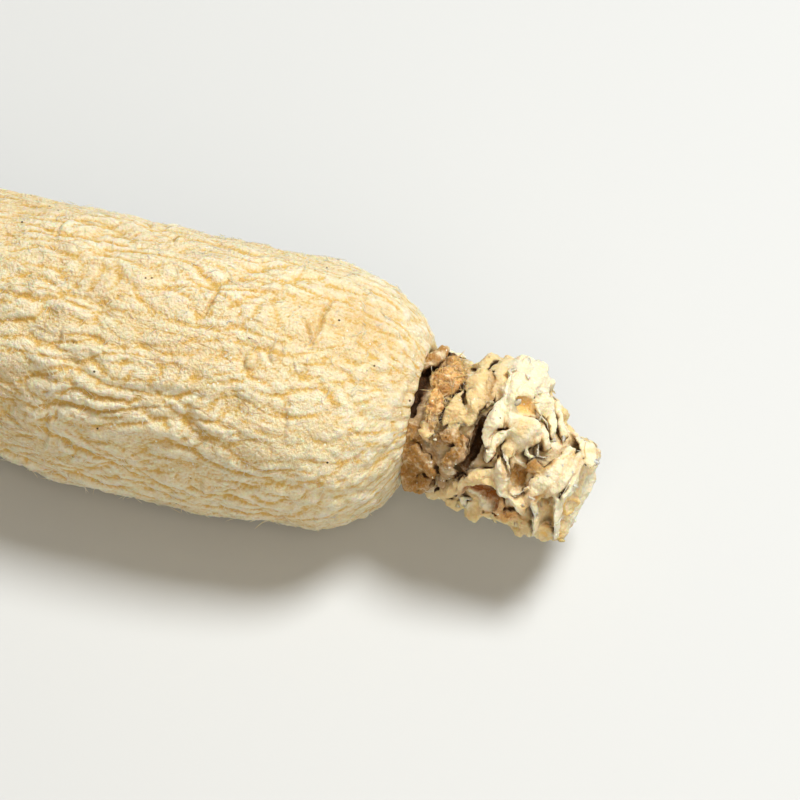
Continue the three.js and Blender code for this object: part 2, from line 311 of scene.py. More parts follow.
# Scars across the skin: distance from the shoulder where they start and end, both angles, depth, lip
SCARS = [
    (9.1, 9.3, 78, 104, 0.42, 0.14),
    (10.6, 9.4, 93, 105, 0.26, 0.08),
    (18.1, 18.4, 89, 102, 0.42, 0.08),
    (9.9, 10.0, 134, 148, 0.12, 0.16),
    (29.6, 29.9, 160, 178, 0.12, 0.16),
    (29.7, 30.1, 121, 132, 0.16, 0.12),
    (32.5, 32.9, 63, 81, 0.16, 0.12),
    (16.1, 16.3, 173, 185, 0.12, 0.12),
    (24.0, 24.3, 215, 232, 0.14, 0.10),
    (13.0, 13.2, 262, 284, 0.14, 0.12),
    (27.0, 26.7, 318, 340, 0.14, 0.12),
    (45.0, 45.4, 85, 108, 0.16, 0.12),
    (54.0, 53.6, 20, 48, 0.14, 0.12),
    (62.0, 62.3, 120, 150, 0.14, 0.10),
]
SCAR_HALF = 0.15
SCAR_WANDER = 0.1
SCAR_DARK = 1.7
LIP_AT = 0.4  # the lip of a scar stands this far from its groove
LIP_HALF = 0.26
# Pale oval warts: distance from the shoulder, angle
WARTS = [(12.0, 112), (13.8, 117), (23.0, 60), (33.0, 250), (48.0, 140)]
WART_ALONG = 0.4
WART_ACROSS = 0.62
WART_HEIGHT = 0.32
WART_RIM_AT = 1.4
WART_RIM_HALF = 0.35
WART_RIM_DEPTH = 0.16
WART_DARK = 0.3


def skin_marks(along, angle):
    """Height and darkness of the scars and warts."""
    height = np.zeros(along.shape)
    dark = np.zeros(along.shape)
    degrees = np.degrees(angle)
    for start, end, first, last, depth, lip in SCARS:
        half = math.radians(last - first) / 2 * ROOT_RADIUS
        across = np.radians(degrees - (first + last) / 2) * ROOT_RADIUS
        at = (start + end) / 2 + (end - start) / 2 * across / half
        off = along - at - SCAR_WANDER * np.sin(across * 1.7 + start)
        inside = np.exp(-((across / half) ** 4))
        groove = inside * np.exp(-((off / SCAR_HALF) ** 2))
        ridge = inside * np.exp(-(((off + LIP_AT) / LIP_HALF) ** 2))
        height += lip * ridge - depth * groove
        dark += SCAR_DARK * depth * groove
    for at, turn in WARTS:
        across = np.radians(degrees - turn) * ROOT_RADIUS
        reach = np.hypot((along - at) / WART_ALONG, across / WART_ACROSS)
        rim = np.exp(-(((reach - WART_RIM_AT) / WART_RIM_HALF) ** 2))
        height += WART_HEIGHT * np.exp(-(reach**4)) - WART_RIM_DEPTH * rim
        dark += WART_DARK * rim
    return height, dark


# Stains on the skin: strength, distance from the shoulder, angle, reach along, reach across
STAINS = [
    (0.55, 6.0, 84, 2.2, 2.6),
    (0.8, 9.8, 96, 0.4, 1.1),
    (0.9, 14.0, 159, 0.35, 0.3),
    (0.4, 20.0, 118, 1.6, 1.0),
    (0.35, 27.0, 100, 2.0, 1.2),
    (0.4, 33.0, 150, 1.6, 1.4),
    (0.4, 9.0, 200, 2.5, 2.0),
    (0.5, 50.0, 60, 2.5, 2.0),
    (0.5, 66.0, 200, 3.0, 2.0),
]
THINNING = 0.6  # power of the radius by which wrinkles get shallower on thinner parts
POLE_FROM = 11.0  # within this arc of the crown the wrinkles give way to small bumps
POLE_TO = 20.0
POLE_CALM = 0.9  # share of the wrinkles that is lost there, and the share of their colour
POLE_PLAIN = 0.5
POLE_BUMP = 1.5  # spacing of the bumps
POLE_BUMP_HEIGHT = 0.4
POLE_BUMP_SHADE = 0.3
POLE_GRAIN = 0.6
POLE_GRAIN_HEIGHT = 0.13
NECK_SHADE = (4.4, 5.6)  # radii between which the skin darkens towards the crown
SOCKET = (4.4, 5.3)  # the skin sinks round the foot of the crown, most on the upper side
SOCKET_DEPTH = 1.0
SOCKET_ANGLE = math.radians(108)
SOCKET_BELOW = 0.25  # share of the depth that is left on the under side
# Painted shade in the sunken skin round the crown
SOCKET_SHADE = 1.6
FURROW_SHADE = 0.5
FURROW_SHADE_TOP = 0.3
# Share of the painted shade next to the crown, and of the scars' darkness, that goes into the stain colour
SHADE_AND_MARK_STAIN = 0.6
# The deepest parts of the scars take painted shade
MARK_SHADE = 0.25
MARK_SHADE_FROM = 0.6


def skin_stains(along, angle):
    total = np.zeros(along.shape)
    for strength, at, turn, reach_along, reach_across in STAINS:
        off = (np.degrees(angle) - turn + 180) % 360 - 180
        across = np.radians(off) * ROOT_RADIUS
        total += strength * np.exp(-(((along - at) / reach_along) ** 2) - (across / reach_across) ** 2)
    return total


def pole_bumps(points):
    """Small irregular bumps that don't follow the unrolled skin, for the rounded shoulder."""
    x, y, z = (points[..., k] for k in range(3))
    broad = noise(x / POLE_BUMP, y / POLE_BUMP, z / POLE_BUMP + 60)
    small = noise(x / POLE_GRAIN, y / POLE_GRAIN, z / POLE_GRAIN + 30)
    plump = np.sqrt(broad**2 + 0.003) - 0.22
    return POLE_BUMP_HEIGHT * plump + POLE_GRAIN_HEIGHT * (np.abs(small) - 0.2)


def thinned(radius):
    """How far the wrinkles keep their depth where the root is thinner."""
    return (radius / ROOT_RADIUS) ** THINNING


def skin_rows(arc):
    """Points of the wrinkled skin at these arc lengths, all the way round, and its colour values."""
    along = np.interp(arc, ARC, ALONG)
    radius = np.interp(arc, ARC, RADIUS)
    d_along = np.gradient(ALONG, ARC)
    d_radius = np.gradient(RADIUS, ARC)
    out_axial = np.interp(arc, ARC, d_radius)[:, None]
    out_radial = np.interp(arc, ARC, d_along)[:, None]
    angle = 2 * np.pi * np.arange(COLUMNS) / COLUMNS
    s, t = np.meshgrid(along, angle, indexing="ij")
    coarse = coarse_relief(s, t)
    plain = radius[:, None] + coarse * (radius / ROOT_RADIUS)[:, None]
    p = root_axis(along)[:, None, :].repeat(COLUMNS, 1)
    smooth = p.copy()
    smooth[..., 1] += plain * np.cos(t)
    smooth[..., 2] += plain * np.sin(t)
    pole = smoothstep(arc, POLE_TO, POLE_FROM)[:, None]
    slim = np.where(along < WIDEST_AT, 1, thinned(radius))[:, None]
    fine = (1 - POLE_CALM * pole) * slim * sampled(FINE, arc)
    valley = (1 - POLE_PLAIN * pole) * sampled(VALLEY, arc)
    near = arc < POLE_TO
    bumps = pole_bumps(smooth[near])
    fine[near] += pole[near] * bumps
    valley[near] -= POLE_BUMP_SHADE * pole[near] * bumps
    marks, mark_crease = skin_marks(s, t)
    upper = SOCKET_BELOW + (1 - SOCKET_BELOW) * smoothstep(np.cos(t - SOCKET_ANGLE), 0.2, 0.9)
    inner = smoothstep(radius, SOCKET[1], SOCKET[0]) * (along < WIDEST_AT)
    socket = upper * inner[:, None]
    fine = fine + marks - SOCKET_DEPTH * socket
    out = plain + fine * out_radial
    p[..., 0] += fine * out_axial
    p[..., 1] += out * np.cos(t)
    p[..., 2] = np.maximum(0, p[..., 2] + out * np.sin(t))
    furrow = np.clip(-coarse * FURROW_SHADE, 0, FURROW_SHADE_TOP)
    # Crease colour: the gold tint of the valleys, with painted shade in the valleys, the coarse furrows, the
    # scars and next to the crown
    crease_tint_and_shade = np.clip(valley / VALLEY_DEPTH, 0, 1) + furrow + mark_crease
    neck = (smoothstep(radius, NECK_SHADE[1], NECK_SHADE[0]) * (along < WIDEST_AT))[:, None]
    values = {
        "crease_tint_and_shade": np.clip(crease_tint_and_shade + neck, 0, 1),
        # Painted highlight: the raised skin is paler
        "pale_and_highlight": np.clip(-valley / VALLEY_DEPTH, 0, 1),
        # Stains, with painted shade next to the crown
        "stain_and_shade": np.clip(skin_stains(s, t) + SHADE_AND_MARK_STAIN * neck + SHADE_AND_MARK_STAIN * mark_crease, 0, 1),
        "lined": (1 - pole).repeat(COLUMNS, 1),
        # Painted shade in the socket and the deepest scars
        "deep": np.clip(SOCKET_SHADE * socket + MARK_SHADE * np.maximum(mark_crease - MARK_SHADE_FROM, 0), 0, 1),
    }
    return p, values


def mesh_object(name, points, quads, triangles, attributes, material):
    mesh = bpy.data.meshes.new(name)
    loops = np.concatenate([np.ravel(quads), np.ravel(triangles)]).astype(np.int32)
    sizes = np.concatenate([np.full(len(quads), 4), np.full(len(triangles), 3)])
    starts = (np.cumsum(sizes) - sizes).astype(np.int32)
    mesh.vertices.add(len(points))
    mesh.vertices.foreach_set("co", (np.asarray(points, np.float32) * MM).ravel())
    mesh.loops.add(len(loops))
    mesh.loops.foreach_set("vertex_index", loops)
    mesh.polygons.add(len(sizes))
    mesh.polygons.foreach_set("loop_start", starts)
    mesh.polygons.foreach_set("use_smooth", np.ones(len(sizes), bool))
    mesh.update(calc_edges=True)
    for key, values in attributes.items():
        layer = mesh.attributes.new(key, "FLOAT", "POINT")
        layer.data.foreach_set("value", np.asarray(values, np.float32).ravel())
    mesh.materials.append(material)
    obj = bpy.data.objects.new(name, mesh)
    bpy.context.scene.collection.objects.link(obj)
    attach(obj, "root")
    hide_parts(NODE)
    return obj


def grid_faces(rows, columns):
    row, column = np.meshgrid(np.arange(rows - 1), np.arange(columns), indexing="ij")
    right = (column + 1) % columns
    here, below = row * columns, (row + 1) * columns
    return np.stack([here + column, below + column, below + right, here + right], -1).reshape(-1, 4)


def fan_faces(ring_start, columns, pole, flip):
    column = np.arange(columns)
    right = (column + 1) % columns
    a, b = (right, column) if flip else (column, right)
    return np.stack([np.full(columns, pole), ring_start + a, ring_start + b], -1)


# Materials
def node_maker(material):
    material.use_nodes = True
    tree = material.node_tree
    tree.nodes.clear()

    def make(kind, **values):
        node = tree.nodes.new(kind)
        for key, value in values.items():
            setattr(node, key, value)
        return node

    return tree, make


def root_material(name, crown):
    material = bpy.data.materials.new(name)
    tree, make = node_maker(material)
    link = tree.links.new
    output = make("ShaderNodeOutputMaterial")
    shader = make("ShaderNodeBsdfPrincipled")
    link(shader.outputs["BSDF"], output.inputs["Surface"])
    coords = make("ShaderNodeTexCoord")

    def texture(scale, detail=3.0, rough=0.55, source=coords.outputs["Object"]):
        node = make("ShaderNodeTexNoise")
        node.inputs["Scale"].default_value = scale
        node.inputs["Detail"].default_value = detail
        node.inputs["Roughness"].default_value = rough
        link(source, node.inputs["Vector"])
        return node.outputs["Fac"]

    def hairlines(along, across, width):
        """Thin lines that run along the root, this many millimetres long and apart."""
        stretch = make("ShaderNodeMapping")
        stretch.inputs["Scale"].default_value = (1 / along, 1 / across, 1 / across)
        link(coords.outputs["Object"], stretch.inputs["Vector"])
        middle = make("ShaderNodeMath", operation="SUBTRACT")
        link(texture(1 / MM, 1.5, 0.5, stretch.outputs["Vector"]), middle.inputs[0])
        middle.inputs[1].default_value = 0.5
        distance = make("ShaderNodeMath", operation="ABSOLUTE")
        link(middle.outputs[0], distance.inputs[0])
        return ramp(distance.outputs[0], width, 0.0)

    def spots(scale, radius, rarity):
        """Small scattered spots."""
        cell = make("ShaderNodeTexVoronoi", feature="F1")
        cell.inputs["Scale"].default_value = scale
        link(coords.outputs["Object"], cell.inputs["Vector"])
        near = ramp(cell.outputs["Distance"], radius, radius / 2)
        return times(near, ramp(texture(scale / 2, 1), rarity, rarity + 0.02))

    def ramp(source, low, high):
        node = make("ShaderNodeMapRange")
        node.interpolation_type = "SMOOTHSTEP"
        node.inputs["From Min"].default_value = low
        node.inputs["From Max"].default_value = high
        link(source, node.inputs["Value"])
        return node.outputs["Result"]

    def mixed(factor, first, second):
        node = make("ShaderNodeMix", data_type="RGBA")
        for socket, value in (("A", first), ("B", second)):
            target = next(s for s in node.inputs if s.name == socket and s.type == "RGBA")
            if isinstance(value, tuple):
                target.default_value = (*value, 1)
            else:
                link(value, target)
        link(factor, node.inputs["Factor"])
        return next(s for s in node.outputs if s.type == "RGBA")

    def times(first, value):
        node = make("ShaderNodeMath", operation="MULTIPLY")
        link(first, node.inputs[0])
        if isinstance(value, float):
            node.inputs[1].default_value = value
        else:
            link(value, node.inputs[1])
        return node.outputs[0]

    def attribute(key):
        return make("ShaderNodeAttribute", attribute_name=key).outputs["Fac"]

    cream = (0.92, 0.80, 0.52)
    warm = (0.86, 0.69, 0.38)
    pale = (0.98, 0.93, 0.74)
    gold = (0.60, 0.33, 0.08) if crown else (0.76, 0.46, 0.06)
    line_tone = (0.62, 0.36, 0.10)
    stain_and_shade_tone = (0.68, 0.40, 0.10)
    streak_tone = (0.36, 0.16, 0.05)
    speck_tone = (0.60, 0.38, 0.13)
    soil_tone = (0.10, 0.06, 0.03)
    glint_tone = (1.0, 0.97, 0.86)
    shade_tone = (0.05, 0.02, 0.005)
    color = mixed(times(ramp(texture(90, 3), 0.45, 0.75), 0.45), cream, warm)
    # Pale on the raised skin: painted highlight, and the pale lint, strands and cut ends
    color = mixed(times(attribute("pale_and_highlight"), ramp(texture(1500, 3), 0.2, 0.6)), color, pale)
    # Gold in the creases: on the skin the creases' own tint with painted shade, on the crown painted shade of
    # its half-hidden places
    color = mixed(times(attribute("crease_tint_and_shade"), 0.8), color, gold)
    lines = times(hairlines(7.0, 1.5, 0.022), ramp(texture(260, 2), 0.4, 0.6))
    lines = times(lines, attribute("lined"))
    color = mixed(times(lines, 0.5), color, line_tone)
    # Stains, and painted shade next to the crown
    color = mixed(times(attribute("stain_and_shade"), 0.7), color, stain_and_shade_tone)
    if crown:
        for tone, shade in TONES.items():
            color = mixed(times(attribute(tone), ramp(texture(900, 4), 0.2, 0.5)), color, shade)
        streaks = ramp(texture(2200, 3), 0.5, 0.62)
        color = mixed(times(times(attribute("amber"), streaks), 0.6), color, streak_tone)
    color = mixed(times(ramp(texture(5200, 2), 0.5, 0.68), 0.12 if crown else 0.2), color, speck_tone)
    color = mixed(times(ramp(texture(3900, 2), 0.5, 0.66), 0.2 if crown else 0.35), color, pale)
    color = mixed(spots(900, 0.12, 0.6), color, soil_tone)
    # Painted glints: tiny near-white spots
    color = mixed(spots(1700, 0.2, 0.56), color, glint_tone)
    # Painted shade: near-black in the socket, the crown's hollows and the deepest scars
    color = mixed(attribute("deep"), color, shade_tone)
    link(color, shader.inputs["Base Color"])
    shader.inputs["Roughness"].default_value = 0.62
    shader.inputs["Specular IOR Level"].default_value = 0.22
    shader.inputs["Subsurface Weight"].default_value = 0.5 if crown else 0.45
    shader.inputs["Subsurface Radius"].default_value = (1.0, 0.55, 0.22)
    shader.inputs["Subsurface Scale"].default_value = 0.0006 if crown else 0.0004
    height = make("ShaderNodeMath", operation="SUBTRACT")
    link(texture(3400, 4, 0.7), height.inputs[0])
    link(times(lines, 0.15), height.inputs[1])
    bump = make("ShaderNodeBump")
    bump.inputs["Strength"].default_value = 0.9
    bump.inputs["Distance"].default_value = 0.0004 if crown else 0.0006
    link(height.outputs[0], bump.inputs["Height"])
    link(bump.outputs["Normal"], shader.inputs["Normal"])
    return material


SKIN = root_material("dried_root_skin", False)
CROWN_SKIN = root_material("dried_crown_skin", True)


# Main root in three lengths that meet at seams, with shared normals
def grid_normals(grid):
    down = np.gradient(grid, axis=0)
    wrapped = np.concatenate([grid[:, -1:], grid, grid[:, :1]], 1)
    round_it = (wrapped[:, 2:] - wrapped[:, :-2]) / 2
    return unit(np.cross(down, round_it))


POLE_START = 0.6  # arc of the first ring of points round the pole

# Trimmed ends: rings of points from the rim inwards, a darker ring of growth, and drying cracks
CUT_SHARES = (0.975, 0.94, 0.88, 0.82, 0.77, 0.73, 0.69, 0.64, 0.56, 0.45, 0.3, 0.15)
CUT_VALUES = {"crease_tint_and_shade": 0.1, "pale_and_highlight": 0.6, "stain_and_shade": 0.0, "lined": 0.0, "deep": 0.0}
CUT_ROUGH = 0.22
CUT_BEVEL = 0.18
CUT_DISH = 0.45
GROWTH_RING_AT = 0.73
GROWTH_RING_HALF = 0.05
GROWTH_RING_DARK = 0.6
CRACKS = 2.2  # more makes more of them
CRACK_HALF = 0.05
CRACK_DEPTH = 0.22
CRACK_DARK = 0.8


def cut_face(rim, facing):
    """Rings of points over a trimmed end, its middle, and how dark each of them is."""
    hub = rim.mean(0)
    share = np.array(CUT_SHARES)[:, None]
    rings = hub + (rim - hub) * share[..., None]
    turn = 2 * np.pi * np.arange(len(rim)) / len(rim)
    ray = np.abs(noise(CRACKS * np.cos(turn), CRACKS * np.sin(turn), 0.3))
    fading = smoothstep(share, 0.2, 0.45) * smoothstep(share, 0.98, 0.8)
    crack = smoothstep(ray, CRACK_HALF, 0)[None] * fading
    rough = CUT_ROUGH * noise(rings[..., 0] * 1.7 + 0.3, rings[..., 1] * 1.7, rings[..., 2] * 1.7)
    swell = CUT_BEVEL + rough - CUT_DISH * (1 - share) - CRACK_DEPTH * crack
    rings = rings + swell[..., None] * facing
    growth = np.exp(-(((share - GROWTH_RING_AT) / GROWTH_RING_HALF) ** 2))
    dark = np.clip(CUT_VALUES["crease_tint_and_shade"] + GROWTH_RING_DARK * growth + CRACK_DARK * crack, 0, 1)
    return rings, rings[-1].mean(0), dark


def build_skin():
    first, second = np.interp(SEAMS_AT, ALONG, ARC)
    fine_rows = int((second - POLE_START) / ROW_STEP)
    tail_rows = int((ARC[-1] - second) / TAIL_ROW_STEP)
    front_arc = np.linspace(POLE_START, second, fine_rows)
    tail_arc = np.linspace(second, ARC[-1], tail_rows)
    arc = np.concatenate([front_arc, tail_arc[1:]])
    grid, values = skin_rows(arc)
    normals = grid_normals(grid)
    split = int(np.searchsorted(arc, first))
    ends = (0, split, fine_rows - 1, len(arc) - 1)
    for name, low, high in zip(("skin_shoulder", "skin_middle", "skin_tail"), ends[:-1], ends[1:]):
        rows = slice(low, high + 1)
        points = [grid[rows].reshape(-1, 3)]
        outward = [normals[rows].reshape(-1, 3)]
        extra = 0
        fan = np.zeros((0, 3), int)
        count = high + 1 - low
        if low == 0:
            points.append(grid[:1].mean(1))
            outward.append(np.array([[1.0, 0, 0]]))
            fan = fan_faces(0, COLUMNS, count * COLUMNS, False)
            extra = 1
        if high == len(arc) - 1:
            facing = np.array([-1.0, 0, 0])
            cut, hub, dark = cut_face(grid[-1], facing)
            points += [cut.reshape(-1, 3), hub[None]]
            count += len(cut)
            extra = dark.size + 1
            outward += [grid_normals(cut).reshape(-1, 3), facing[None]]
            fan = fan_faces((count - 1) * COLUMNS, COLUMNS, count * COLUMNS, True)
        kept = {}
        for key, value in values.items():
            kept[key] = np.append(value[rows], np.full(extra, CUT_VALUES[key]))
        if high == len(arc) - 1:
            kept["crease_tint_and_shade"][-extra:-1] = dark.ravel()
        piece = mesh_object(name, np.concatenate(points), grid_faces(count, COLUMNS), fan, kept, SKIN)
        piece.data.normals_split_custom_set_from_vertices(np.concatenate(outward))
    return grid, normals


SKIN_GRID, SKIN_NORMALS = build_skin()

# Side leg, forked off the tail
LEG_PATH = np.array([[-48, 0, 7.6], [-58, -4.2, 6.2], [-68, -7.4, 5.0], [-77, -9.0, 4.6]])
LEG_RADIUS = 5.6
LEG_TIP_RADIUS = 2.1
LEG_ROWS = 130
LEG_COLUMNS = 180
LEG_SKIN_FROM = 40  # its wrinkles are those of the main root from this arc on


def build_leg():
    way = np.concatenate([[0], np.cumsum(np.linalg.norm(np.diff(LEG_PATH, axis=0), axis=1))])
    share = np.linspace(0, 1, LEG_ROWS)
    fit = np.polyfit(way, LEG_PATH, 3)
    centre = np.stack([np.polyval(fit[:, k], share * way[-1]) for k in range(3)], -1)
    centre[:, 0] += ORIGIN_AT
    ahead = unit(np.gradient(centre, axis=0))
    side = unit(np.cross(ahead, [0, 0, 1]))
    up = np.cross(side, ahead)
    angle = 2 * np.pi * np.arange(LEG_COLUMNS) / LEG_COLUMNS
    skip = COLUMNS // LEG_COLUMNS
    plain = LEG_RADIUS + (LEG_TIP_RADIUS - LEG_RADIUS) * share
    arc = LEG_SKIN_FROM + share * way[-1]
    relief = sampled(FINE, arc)[:, ::skip]
    radius = plain[:, None] + relief * thinned(plain)[:, None]
    grid = centre[:, None] + radius[..., None] * (
        np.cos(angle)[None, :, None] * side[:, None] + np.sin(angle)[None, :, None] * up[:, None]
    )
    grid[..., 2] = np.maximum(grid[..., 2], 0)
    cut, hub, dark = cut_face(grid[-1], ahead[-1])
    rows = LEG_ROWS + len(cut)
    points = np.concatenate([grid.reshape(-1, 3), cut.reshape(-1, 3), [hub, centre[0]]])
    quads = grid_faces(rows, LEG_COLUMNS)
    tip = fan_faces((rows - 1) * LEG_COLUMNS, LEG_COLUMNS, rows * LEG_COLUMNS, True)
    root = fan_faces(0, LEG_COLUMNS, rows * LEG_COLUMNS + 1, False)
    valley = sampled(VALLEY, arc)[:, ::skip].ravel() / VALLEY_DEPTH
    ends = np.full(dark.size + 2, CUT_VALUES["pale_and_highlight"])
    values = {
        "crease_tint_and_shade": np.concatenate([np.clip(valley, 0, 1), dark.ravel(), [0, 0]]),
        "pale_and_highlight": np.append(np.clip(-valley, 0, 1), ends),
    }
    mesh_object("side_leg", points, quads, np.concatenate([tip, root]), values, SKIN)


build_leg()

# Crown: one distance field in its own frame, along its axis, towards its front and towards its side
CROWN_AXIS = unit(CROWN_DIRECTION)
CROWN_FACE = unit(CROWN_FRONT - CROWN_AXIS * (CROWN_FRONT @ CROWN_AXIS))
CROWN_SIDE = np.cross(CROWN_FACE, CROWN_AXIS)
CROWN_AXES = np.stack([CROWN_AXIS, CROWN_FACE, CROWN_SIDE])
CROWN_BASE = root_axis(np.array(0.0)) - CROWN_DROP * CROWN_SIDE
CROWN_END_AT = 14.4
END_SCAR_AT = np.array([14.2, 0.5, -1.0])  # worn face at the end, turned to the front
END_SCAR_FACING = unit(np.array([1, 0.7, -0.25]))
END_SCAR_RING = 0.62
END_SCAR_HALF = 0.16
END_SCAR_HEIGHT = 0.35
FIELD_LOW = np.array([-2.6, -8.2, -8.0])
FIELD_HIGH = np.array([16.0, 8.6, 9.6])
FIELD_STEP = 0.105
FIELD_AXES = [np.arange(low, high, FIELD_STEP) for low, high in zip(FIELD_LOW, FIELD_HIGH)]
SINK = 0.55  # share of a fold's half height that is sunk in the crown
HOLLOW_SINK = 0.3
REACH = 1.6  # margin of the field round a fold that it can change
END_TAPER = 0.45
HOLLOW_TAPER = 0.15
TONE_BLEND = 0.45
HOLLOW_BLEND = 0.1

# Folds: tone, half width, half height, lift, path of (along, angle in degrees) points
CROWN_FOLDS = [
    # fibrous lump, tuft and flap beside the shoulder
    ("amber", 1.55, 1.25, 0.35, [(0.5, 68), (0.8, 48), (1.2, 34)]),
    ("amber", 0.85, 0.85, 0.30, [(0.8, 28), (1.1, 13), (1.4, -1)]),
    ("grey", 0.60, 1.00, 0.75, [(-1.5, 48), (-1.1, 62), (-0.8, 78)]),
    ("white", 0.80, 0.18, 0.75, [(-0.8, 86), (0.3, 94)]),
    # strands next to it
    ("tan", 0.62, 0.60, 0.40, [(2.6, 31), (2.7, 14), (2.5, 1)]),
    ("tan", 0.52, 0.50, 0.35, [(3.2, 23), (3.5, 8), (3.3, -4)]),
    ("tan", 0.85, 0.95, 0.60, [(3.0, 74), (3.4, 45), (3.8, 24), (4.2, 3)]),
    ("tan", 1.10, 0.95, 0.35, [(2.2, 82), (3.5, 85)]),
    ("tan", 0.55, 0.70, 0.40, [(4.2, 86), (4.3, 60), (4.5, 40)]),
    ("tan", 0.34, 0.50, 0.35, [(4.5, 38), (4.8, 20)]),
    # large smooth lump with its tongue, and the lip of its pit
    ("cream", 2.10, 1.90, 0.50, [(6.2, 80), (6.5, 50), (6.8, 26)]),
    ("cream", 1.60, 1.40, 0.45, [(7.6, 58), (8.0, 36)]),
    ("cream", 1.30, 1.10, 0.40, [(7.1, 24), (8.3, 18), (9.2, 24)]),
    ("cream", 0.80, 0.85, 0.55, [(5.9, 26), (6.1, 8), (6.4, -6)]),
    ("cream", 1.80, 1.50, 0.35, [(5.5, 94), (7.3, 88)]),
    ("white", 0.30, 0.45, 1.30, [(7.4, 40), (7.9, 45), (8.6, 45), (9.2, 37)]),
    ("gold", 0.13, 0.22, 0.95, [(8.0, 19), (8.4, 23), (8.8, 19), (8.4, 15), (8.0, 19)]),
    # ridges beyond it
    ("cream", 0.52, 0.70, 0.45, [(8.8, 68), (9.5, 54), (10.3, 39)]),
    ("cream", 0.55, 0.70, 0.45, [(9.5, 82), (10.2, 68), (11.2, 53)]),
    ("cream", 0.42, 0.60, 0.35, [(9.4, 36), (10.0, 30), (10.9, 30)]),
    ("cream", 0.52, 0.75, 0.45, [(7.9, 15), (7.4, 3), (7.1, -8), (7.0, -19)]),
    ("tan", 0.65, 0.40, 0.10, [(8.4, 11), (8.5, -3)]),
    ("amber", 0.36, 0.34, -1.1, [(6.1, 3), (5.9, -13)]),
    # grey lumps and slab on the near side
    ("tan", 0.95, 0.80, 0.25, [(1.1, -8), (1.7, -16)]),
    ("white", 0.22, 0.25, 0.45, [(2.4, -14), (2.5, -14)]),
    ("grey", 0.75, 0.70, 0.30, [(3.0, -8), (3.8, -12)]),
    ("grey", 0.80, 0.60, 0.40, [(4.5, -12), (4.5, -28), (4.1, -54)]),
    ("grey", 0.80, 0.70, 0.25, [(1.0, -30), (1.5, -40)]),
    ("grey", 0.80, 0.75, 0.30, [(2.3, -34), (2.9, -48)]),
    ("grey", 0.90, 0.80, 0.25, [(2.1, -58), (3.0, -66)]),
    ("grey", 1.10, 1.00, 0.15, [(0.9, -62), (2.3, -86)]),
    ("tan", 0.64, 0.75, 0.40, [(4.2, -73), (5.4, -52), (6.4, -36), (8.3, -20)]),
    # broken skin round the brown pit
    ("tan", 0.45, 0.50, 0.25, [(6.6, -36), (7.6, -31), (8.5, -35)]),
    ("white", 0.24, 0.42, 0.55, [(5.7, -65), (6.2, -71), (6.7, -67)]),
    ("tan", 1.00, 0.90, 0.25, [(6.1, -78), (8.0, -73)]),
    ("tan", 1.15, 1.00, 0.15, [(4.3, -84), (6.1, -90)]),
    ("amber", 0.60, 0.60, 0.30, [(8.5, -41), (9.1, -52)]),
    ("amber", 0.60, 0.60, 0.25, [(9.1, -60), (10.3, -52)]),
    ("tan", 0.80, 0.70, 0.15, [(8.9, -74), (10.7, -72)]),
    # rims of the grey hollow and papery crumples over it
    ("cream", 0.70, 0.80, 0.45, [(8.1, -11), (8.6, -22), (9.3, -33)]),
    ("cream", 0.80, 0.70, 0.35, [(9.7, -30), (10.9, -37)]),
    ("white", 0.10, 0.48, 0.50, [(8.2, -2), (8.8, -7), (9.2, -15)]),
    ("white", 0.10, 0.42, 0.45, [(9.7, -26), (10.4, -23), (10.9, -15)]),
    ("white", 0.10, 0.42, 0.50, [(9.4, 15), (10.0, 11), (10.6, 15)]),
    ("white", 0.10, 0.42, 0.50, [(10.1, 21), (10.8, 17), (11.4, 21)]),
    ("grey", 0.60, 0.60, 0.25, [(10.3, 7), (11.3, 2)]),
    # sweeping folds at the end and the golden slit
    ("cream", 0.85, 0.90, 0.50, [(12.3, 40), (12.2, 10), (11.7, -9), (11.1, -26)]),
    ("cream", 0.50, 0.90, 0.60, [(13.2, 42), (13.1, 8), (12.5, -14)]),
    ("white", 0.32, 0.60, 0.40, [(13.7, 34), (13.8, 0), (13.2, -22)]),
    ("cream", 1.00, 0.22, 0.50, [(12.5, 66), (13.6, 54), (14.4, 38)]),
    ("white", 0.16, 0.65, 0.50, [(11.4, -14), (11.9, -32), (12.5, -62), (13.1, -86)]),
    ("white", 0.20, 0.75, 0.50, [(12.7, -4), (13.2, -16), (13.8, -44), (14.3, -76)]),
    ("tan", 1.00, 0.80, 0.20, [(10.6, -60), (12.2, -84)]),
]
